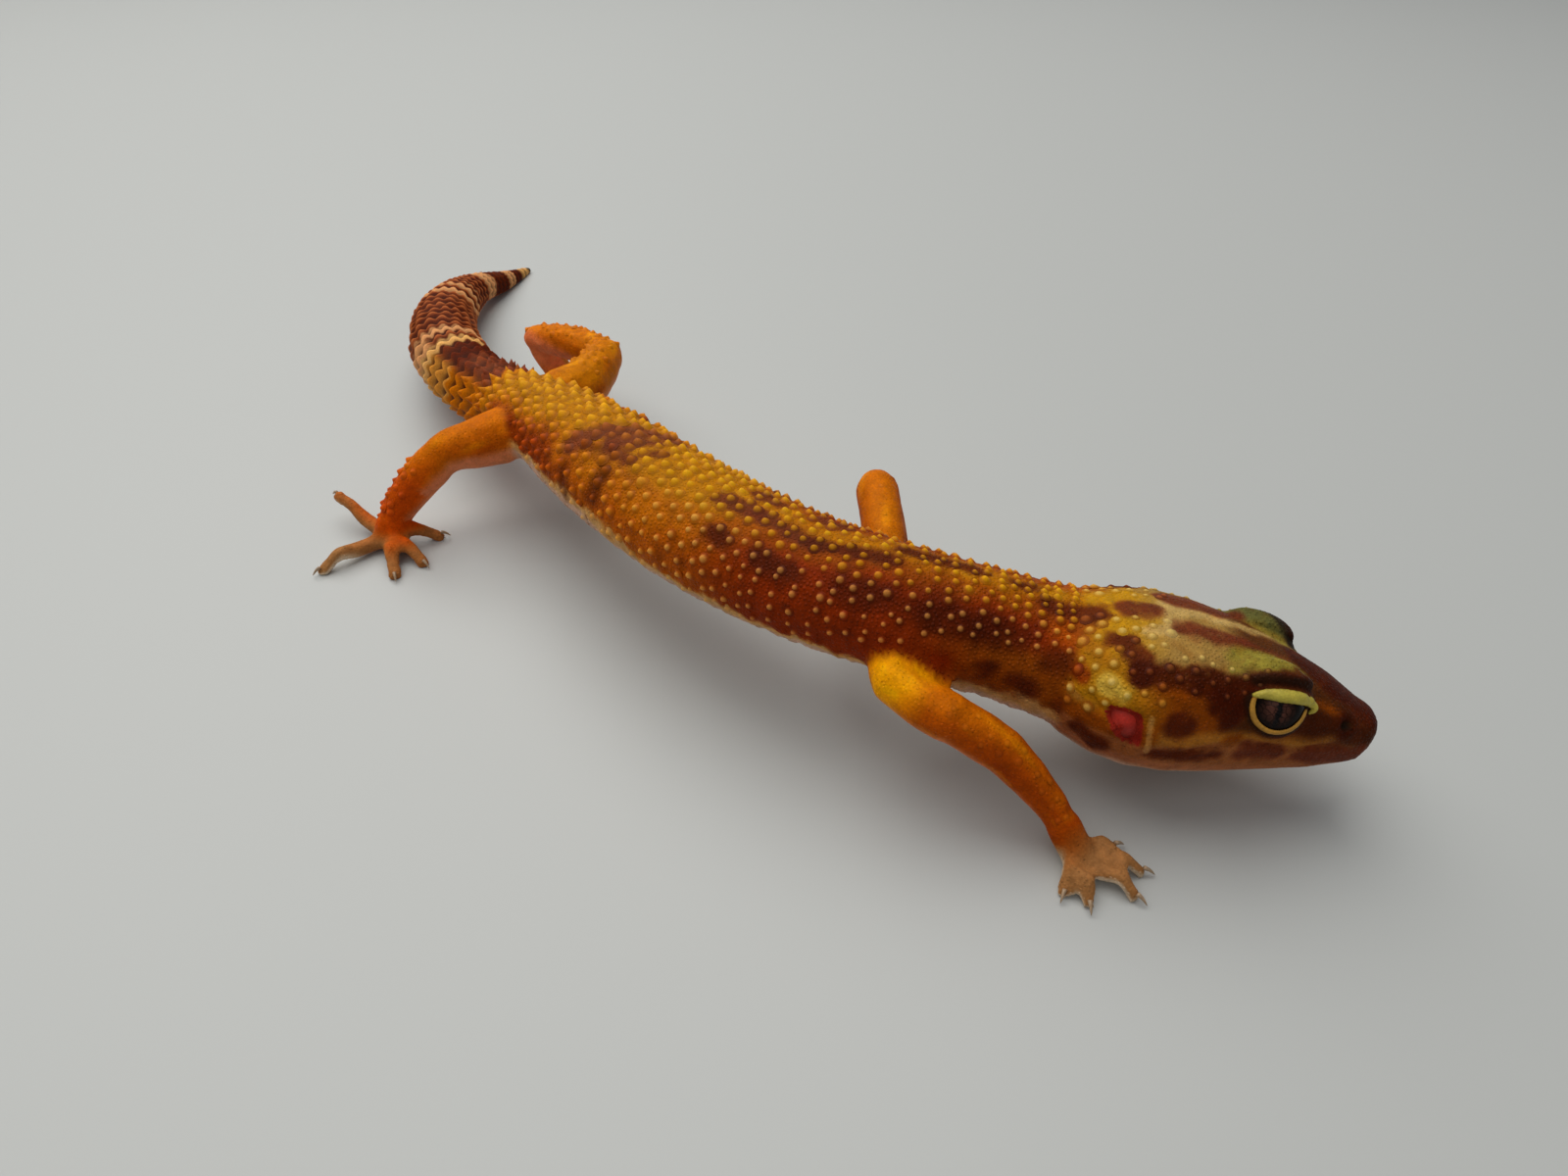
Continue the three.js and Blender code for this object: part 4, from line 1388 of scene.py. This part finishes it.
def scatter(name, shape, roots, at, half, height, top_tones_and_highlights=None, cap_share=0, backward=0.0, back=None,
            tint=None):
    """One joined mesh of many scales, each standing on the skin at its root.

    The tops take the tones of top_tones_and_highlights by cap_share, partly the scales' own paler tips and
    partly painted highlight, and lean backward by a share of their height; round the foot of a capped scale
    the colour is darkened as painted shade."""
    co, sheets, patch = shape
    count, size = len(roots), len(co)
    up = SKIN["normal"][at]
    if back is None:
        back = SPINE.at(SKIN["along"][at])[1]
    back = unit(back - up * (back * up).sum(1, keepdims=True))
    left = np.cross(up, back)
    half, height = [np.broadcast_to(sizes, count)[:, None, None] for sizes in (half, height)]
    x, y, z = co[None, :, 0, None], co[None, :, 1, None], co[None, :, 2, None]
    slide = backward * height * np.clip(z, 0, 1)
    places = roots[:, None] + (half * x + slide) * back[:, None] + half * y * left[:, None]
    places = (places + height * z * up[:, None]).reshape(-1, 3)
    ground = np.repeat(colour_at(roots, at) if tint is None else tint, size, axis=0)
    if top_tones_and_highlights is not None:
        # tops turn towards their top tones: partly paler tips, partly painted highlight
        top = np.tile(ease(co[:, 2], 0.15, 0.8), count) * np.repeat(np.broadcast_to(cap_share, count), size)
        ground = lay(ground, np.repeat(top_tones_and_highlights, size, axis=0), top)
        # painted shade: the colour is darkened a little round the foot of each scale
        foot = np.tile(fade(co[:, 2], SCALE_FOOT, 0.3), count)
        ground = ground * (1 - 0.1 * foot)[:, None]
    flat = unwrap(at)[:, None] + patch[None] * PATCH
    corners = (sheets[None] + np.arange(count)[:, None, None] * size).reshape(-1, 3)
    obj = build(name, places, corners, ground, flat.reshape(-1, 2))
    wear(obj, SCALE_FINISH)
    return obj


def nearest_corner(sheet, place):
    """The vertex of one of the skin's triangles that is nearest to a place."""
    corners = SKIN["facets"][sheet]
    return corners[np.linalg.norm(SKIN["place"][corners] - np.array(place), axis=1).argmin()]


def cast(starts, ways, reach=16):
    """Where rays from inside the body meet the skin: which rays do, the places and the nearest vertices."""
    kept, places, at = [], [], []
    for i, (start, way) in enumerate(zip(starts, ways)):
        place, _, sheet, _ = SKIN["tree"].ray_cast(Vector(start), Vector(way), reach)
        if place is None:
            continue
        kept.append(i)
        places.append(place)
        at.append(nearest_corner(sheet, place))
    return np.array(kept), np.array(places), np.array(at)


def ring_rows(line, starts, across, gap, jitter, seed):
    """Rays that leave a centre line in staggered rings; gap gives the distance between rings."""
    dice = np.random.default_rng(seed)
    places, ways = [], []
    along, row = starts[0], 0
    while along < starts[1]:
        spread = across(along)
        count = max(6, int(round(2 * np.pi * spread / gap(along))))
        turn = (np.arange(count) + 0.5 * (row % 2)) * 2 * np.pi / count
        turn = turn + dice.normal(0, jitter / spread, count)
        reach = along + dice.normal(0, jitter, count)
        centre, way = line.rays(reach, turn)
        places.append(centre)
        ways.append(way)
        along, row = along + gap(along), row + 1
    return np.concatenate(places), unit(np.concatenate(ways))


TUBERCLE = model_scale("tubercle", 8, 8)
CONE = model_scale("cone", 8, 8)
DICE = np.random.default_rng(5)


def uneven(share, count=None):
    """Sizes about 1, more or less alike."""
    return np.exp(DICE.normal(0, share, count))


def trunk_tubercles():
    spacing = ([0, 20, 45, 60, 90], [1.5, 1.62, 1.8, 1.92, 1.9])
    rows = ring_rows(SPINE, (1.2, 91), lambda s: girth(s) - 0.5, lambda s: np.interp(s, *spacing), 0.2, 11)
    _, roots, at = cast(*rows)
    along = SKIN["along"][at]
    side = off_ridge(along, SKIN["angle"][at])
    edge = np.interp(along, *CREAM_EDGE) + DICE.normal(0, 3, len(at))
    keep = (SKIN["limb"][at] < 0.03) & (SKIN["head"][at] < 0.5) & (side < edge + 2)
    keep &= (side < np.interp(along, [0, 12, 24], [62, 70, 110])) | (along > 24)
    roots, at, side, along, edge = [row[keep] for row in (roots, at, side, along, edge)]
    ground = SKIN["colour"][at]
    dark = fade(ground.mean(1), 0.24, 0.42)
    front = fade(along, 38, 62)
    top_tones_and_highlights = lay(TONE["lemon"], lay(TONE["apricot"], "pearl", front), ease(side, 22, 55))
    top_tones_and_highlights = lay(top_tones_and_highlights, "cream", 0.6 * ease(side, edge - 22, edge - 6))
    # painted highlight: on dark skin, and towards the rear, the tops are lighter copies of the skin's own
    # colour
    top_tones_and_highlights = lay(top_tones_and_highlights, ground * 1.4, dark * (1 - 0.75 * front))
    top_tones_and_highlights = lay(top_tones_and_highlights, ground * 1.3, 0.35 * (1 - front))
    half = np.interp(along, [0, 30, 60, 90], [0.54, 0.64, 0.88, 0.94]) * uneven(0.1, len(at))
    half *= (1 - 0.2 * ease(side, 35, 70)) * (1 - 0.2 * ease(side, edge - 20, edge))
    height = half * np.interp(along, [0, 40, 90], [0.7, 0.74, 0.8])
    scatter("trunk_tubercles", TUBERCLE, roots, at, half, height, top_tones_and_highlights, 0.85, 0.35)


HEAD_CAPS = plain((228, 192, 106))


def head_tubercles():
    starts, ways = [], []
    for row, x in enumerate(np.arange(-1.5, 17.5, 1.5)):
        for turn in np.arange(-104, 105, 11):
            angle = np.radians(turn + 5.5 * (row % 2) + DICE.normal(0, 1.6))
            starts.append(HEAD.place((x + DICE.normal(0, 0.18), 0, -1)))
            ways.append(np.array([0, -np.sin(angle), np.cos(angle)]) @ HEAD.axes)
    _, roots, at = cast(np.array(starts), np.array(ways), 14)
    local = HEAD.measure(roots)
    x, y, z = local.T
    side = np.degrees(np.arctan2(np.abs(y), z + 1))
    back = (x < 8.2) & (side > 14) & (side < np.interp(x, [-2, 3, 8], [100, 84, 70]))
    band = (x >= 8.2) & (x < 17) & (side > 36) & (side < 62)
    keep = (back | band) & (SKIN["head"][at] > 0.4)
    roots, at, local = roots[keep], at[keep], local[keep]
    ground = SKIN["colour"][at]
    dark = fade(ground.mean(1), 0.24, 0.44)
    # pale tips, and on dark skin a lighter copy of the skin beneath as painted highlight
    top_tones_and_highlights = lay(HEAD_CAPS, ground * 1.45, dark * 0.8)
    half = np.interp(local[:, 0], [0, 6, 16], [0.6, 0.52, 0.36]) * uneven(0.12, len(at))
    scatter("head_tubercles", TUBERCLE, roots, at, half, half * 0.46, top_tones_and_highlights, 0.8, 0.15)


# Which way the rough side faces (outwards and back), how squarely, half width, height beside it.
LIMB_TUBERCLES = {"fore": (0.3, -0.2, 0.72, 0.36, 0.2), "hind": (0.5, 0.55, 0.3, 0.6, 0.7)}
LIMB_ROWS = {"fore_r": (9, 27), "fore_l": (9, 27), "hind_r": (5, 26), "hind_l": (5, 40)}


def limb_tubercles():
    for k, limb in enumerate(LIMBS):
        rows = ring_rows(LINES[limb], LIMB_ROWS[limb], lambda s: 3.1, lambda s: 1.75, 0.2, 13 + k)
        _, roots, at = cast(*rows, 7)
        reach = SKIN["reach"][at]
        out, back, least, size, rise = LIMB_TUBERCLES[limb[:4]]
        outer = SKIN["normal"][at] @ unit(np.array([SIDES[limb[-1]] * out, back, 0.8]))
        bare = (limb == "hind_r") & (reach > 3) & (reach < 12)
        keep = (SKIN["part"][at] == 3 + k) & (outer > least) & (SKIN["foot"][at] < 0.7) & ~bare
        roots, at = roots[keep], at[keep]
        ahead = LINES[limb].at(SKIN["reach"][at])[1]
        # painted highlight: the tops are a slightly lighter copy of the skin beneath
        top_tones_and_highlights = SKIN["colour"][at] * 1.05 + 0.03
        half = size * uneven(0.12, len(at))
        scatter(f"{limb}_tubercles", TUBERCLE, roots, at, half, half * rise, top_tones_and_highlights, 0.6, 0.3, back=ahead)


SCALE_COLUMNS = 6  # columns of a whorl's mesh to a scale
ROOT_LEVEL = 5  # the row of points that a scale's place on the unwrap is taken from


def whorl_patches(marks, corners, near, ring):
    """Makes each scale one small patch, at its root's place on the unwrap."""
    turns = SCALE_COLUMNS * WHORL_SCALLOPS
    column = marks[corners][:, :, 2]
    cell = np.where(np.ptp(column, axis=1) > 1, turns - 1, column.min(axis=1))
    scale = np.round((cell + 0.5) / SCALE_COLUMNS).astype(int) % WHORL_SCALLOPS
    root = marks[corners[:, 0]][:, 0].astype(int) * ring + ROOT_LEVEL * turns + scale * SCALE_COLUMNS
    beside = column - (scale * SCALE_COLUMNS)[:, None]
    beside = ((beside + turns / 2) % turns - turns / 2) / SCALE_COLUMNS
    beyond = marks[corners][:, :, 1] - 0.5
    beyond[np.ptp(beyond, axis=1) > 0.9] = 0.5 + UNDERSIDE  # clear of the top
    return (unwrap(near[root])[:, None] + np.stack([beyond, beside], axis=-1) * 2 * PATCH).reshape(-1, 2)


def tail_whorls():
    """Rings of long scales round the tail, each ring's wavy rear edge standing over the next."""
    turns = SCALE_COLUMNS * WHORL_SCALLOPS
    levels = np.array([0, 0.22, 0.4, 0.54, 0.66, 0.76, 0.85, 0.93, 1, 1.02])
    profile = 0.06 + 0.94 * np.minimum(levels, 1) ** 2.4
    profile[0] = profile[-1] = 0
    angle = np.arange(turns) * 360 / turns
    turn = np.radians(angle)
    starts, ways, lifts, heights, sheets, marks = [], [], [], [], [], []
    rows = list(zip(WHORL_STARTS, WHORL_STARTS[1:]))
    for row, (front, rear) in enumerate(rows):
        wave = scallop(angle, row + 1)
        full = np.interp(front, [86, 92, 104, 130, 160, 174], [0.7, 1.0, 0.95, 0.78, 0.4, 0.12])
        under = 1 - 0.75 * ease(np.abs((angle + 180) % 360 - 180), 105, 140)
        valley = np.interp(front, [86, 95, 110], [0.25, 0.4, 0.62])
        sink = np.interp(front, [86, 94, 110], [1.0, 0.5, 0.16])  # deepest in the hollow behind the thigh
        for level, height in zip(levels, profile):
            along = front - 0.4 + (rear - front + 0.1 + 1.0 * wave * full) * level
            centre, way = SPINE.rays(along, turn)
            starts.append(centre)
            ways.append(way)
            lifts.append(full * under * (valley + (1 - valley) * wave) * height - sink * (height == 0))
            heights.append(height * (0.75 + 0.25 * wave))
            marks.append(np.stack([np.full(turns, row), np.full(turns, level), np.arange(turns)], axis=1))
        underside = strip(2, turns) % turns + (len(levels) - 1) * turns * (strip(2, turns) < turns)
        sheets.append(np.concatenate([strip(len(levels), turns), underside]) + row * len(levels) * turns)
    starts, ways, lifts = np.concatenate(starts), unit(np.concatenate(ways)), np.concatenate(lifts)
    heights, marks, corners = np.concatenate(heights), np.concatenate(marks), np.concatenate(sheets)
    kept, roots, at = cast(starts, ways, 10)
    depth = np.full(len(starts), 99.0)
    depth[kept] = np.linalg.norm(roots - starts[kept], axis=1)
    near = np.full(len(starts), at[0])
    near[kept] = at
    most = 1.12 * girth(SPINE.measure(starts)[0])
    places = starts + ways * (np.minimum(depth, most) + lifts)[:, None]
    places[:, 2] = np.maximum(places[:, 2], FLOOR_GAP)
    along, turned, _ = SPINE.measure(places)
    colour = tail_colour({"along": along, "angle": turned}, places)
    dark = fade(colour.mean(1), 0.28, 0.5)
    crest = ease(heights, 0.45, 0.95)
    # painted highlight: a lighter tone on the crests of the dark rings
    colour = lay(colour, "ridge", 0.85 * crest * dark * ((along > 112) & (along < 154)))
    # painted shade: umber in the hollows at the front of each whorl on the near side
    near_side = ease(-turned, 20, 45) * fade(-turned, 130, 150) * (along > 95) * (along < 118)
    groove = fade(heights, 0.1, 0.34)
    colour = lay(colour, "umber", 0.75 * groove * near_side)
    # painted shade where the whorls sink into the skin and low on each whorl, painted highlight on the
    # crests
    colour = colour * (1 - 0.4 * (lifts < 0) - 0.25 * bump(heights - 0.2, 0.2) + 0.2 * crest)[:, None]
    patches = whorl_patches(marks, corners, near, len(levels) * turns)
    obj = build("tail_whorls", places, corners, colour, patches)
    face_out(obj)
    wear(obj, SKIN_FINISH)


def tail_spines():
    """Pointed tubercles along the rear edges of the first whorls."""
    starts, ways, size = [], [], []
    for row, rear in enumerate(WHORL_STARTS[1:4]):
        for k in range(WHORL_SCALLOPS):
            angle = k * 360 / WHORL_SCALLOPS - 0.6 * np.degrees(np.sin((row + 1) * 1.7)) / WHORL_SCALLOPS
            if 105 < angle % 360 < 255:
                continue
            centre, way = SPINE.rays(rear + 0.1, np.radians(angle + DICE.normal(0, 1.5)))
            starts.append(centre)
            ways.append(way)
            size.append(uneven(0.1))
    kept, roots, at = cast(np.array(starts), unit(np.array(ways)), 10)
    size = np.array(size)[kept]
    keep = SKIN["limb"][at] < 0.2
    roots, at, size = roots[keep], at[keep], size[keep]
    ground = SKIN["colour"][at]
    # painted highlight: the spines' tops are a lighter copy of the skin beneath
    scatter("tail_spines", CONE, roots, at, 0.8 * size, 1.3 * size, ground * 1.2 + 0.03, 0.6, 0.3)


trunk_tubercles()
head_tubercles()
limb_tubercles()
tail_whorls()
tail_spines()


def sow(chosen, spacing, seed):
    """Evenly strewn places on part of the skin, with the skin's nearest vertex to each."""
    group = bpy.data.node_groups.new("sow", "GeometryNodeTree")
    group.interface.new_socket(name="Geometry", in_out="INPUT", socket_type="NodeSocketGeometry")
    group.interface.new_socket(name="Geometry", in_out="OUTPUT", socket_type="NodeSocketGeometry")
    start, end = group.nodes.new("NodeGroupInput"), group.nodes.new("NodeGroupOutput")
    strew = group.nodes.new("GeometryNodeDistributePointsOnFaces")
    strew.distribute_method = "POISSON"
    strew.inputs["Distance Min"].default_value = spacing * MM
    strew.inputs["Density Max"].default_value = 4 / (spacing * MM) ** 2
    strew.inputs["Seed"].default_value = seed
    points = group.nodes.new("GeometryNodePointsToVertices")
    group.links.new(start.outputs[0], strew.inputs["Mesh"])
    group.links.new(strew.outputs["Points"], points.inputs[0])
    group.links.new(points.outputs[0], end.inputs[0])
    sheets = SKIN["facets"]
    sheets = sheets[chosen[sheets].all(axis=1)]
    used, sheets = np.unique(sheets, return_inverse=True)
    bed = build("bed", SKIN["place"][used], sheets.reshape(-1, 3))
    apply(bed, "NODES", node_group=group)
    roots = read(bed)
    bpy.data.objects.remove(bed)
    at = [nearest_corner(SKIN["tree"].find_nearest(Vector(root))[2], root) for root in roots]
    return roots, np.array(at)


GRANULE = model_scale("granule", 6, 3)
eyeward = np.min([np.linalg.norm(SKIN["place"] - eye.centre, axis=1) for eye in EYES], axis=0)
shut = eyeward > EYES[0].radius + 0.08
above = off_ridge(SKIN["along"], SKIN["angle"]) < np.interp(SKIN["along"], *CREAM_EDGE) + 6
bare_trunk = (SKIN["limb"] < 0.5) & (SKIN["head"] < 0.5) & (SKIN["tail"] < 0.9)
dry = SKIN["place"][:, 2] > 0.12
# name: where it grows, spacing, seed, height beside its half width
GRANULES = {
    "head_granules": ((SKIN["head"] >= 0.5) & shut, 0.34, 1, 0.18),
    "back_granules": (bare_trunk & above, 0.39, 2, 0.2),
    "belly_scales": (bare_trunk & ~above & dry, 0.55, 3, 0.26),
    "limb_granules": ((SKIN["limb"] >= 0.5) & (SKIN["foot"] < 0.5), 0.36, 4, 0.11),
    "foot_granules": ((SKIN["foot"] >= 0.5) & dry, 0.32, 5, 0.13),
}
for name, (chosen, spacing, seed, rise) in GRANULES.items():
    roots, at = sow(chosen, spacing, seed)
    size = spacing * 0.56 * uneven(0.08, len(at))
    tint = colour_at(roots, at) * uneven(0.025, (len(at), 1))
    scatter(name, GRANULE, roots - SKIN["normal"][at] * 0.02, at, size, size * rise, tint=tint)


# ---- Stage, light and camera ----

CAMERA_PLACE = (-70.19, -104.37, 86)
CAMERA_TURN = (52, 0, -43)  # degrees
LENS = 24.975
SENSOR = 36
FLOOR_SIZE = 3
WINDOW_POWER = 5.4
ROOM_POWER = 0.7
SKY_STRENGTH = 0.26
LIT = (0, 0, 0.01)  # what the lamps point at

camera_data = bpy.data.cameras.new("camera")
camera_data.lens = LENS
camera_data.sensor_width = SENSOR
camera_data.clip_start = MM
camera = add_object("camera", camera_data)
camera.location = Vector(CAMERA_PLACE) * MM
camera.rotation_euler = [math.radians(turn) for turn in CAMERA_TURN]
bpy.context.scene.camera = camera

bpy.ops.mesh.primitive_plane_add(size=FLOOR_SIZE)
floor = bpy.context.object
floor.name = "floor"
floor.data.materials.append(Finish("floor", Base_Color=(0.50, 0.51, 0.495, 1), Roughness=0.45).material)


def area_light(name, place, size, power, color):
    data = bpy.data.lights.new(name, "AREA")
    data.shape = "DISK"
    data.size = size
    data.energy = power
    data.color = color
    lamp = add_object(name, data)
    lamp.location = place
    lamp.rotation_euler = (Vector(LIT) - Vector(place)).to_track_quat("-Z", "Y").to_euler()


area_light("window", (0.04, 0.30, 0.60), 1.0, WINDOW_POWER, (1, 0.985, 0.95))
area_light("room", (-0.45, -0.35, 0.75), 0.6, ROOM_POWER, (0.97, 0.98, 1))
world = bpy.data.worlds.new("room")
bpy.context.scene.world = world
world.use_nodes = True
sky = world.node_tree.nodes["Background"].inputs
sky["Color"].default_value = (0.82, 0.85, 0.88, 1)
sky["Strength"].default_value = SKY_STRENGTH
bpy.context.scene.view_settings.view_transform = "Standard"
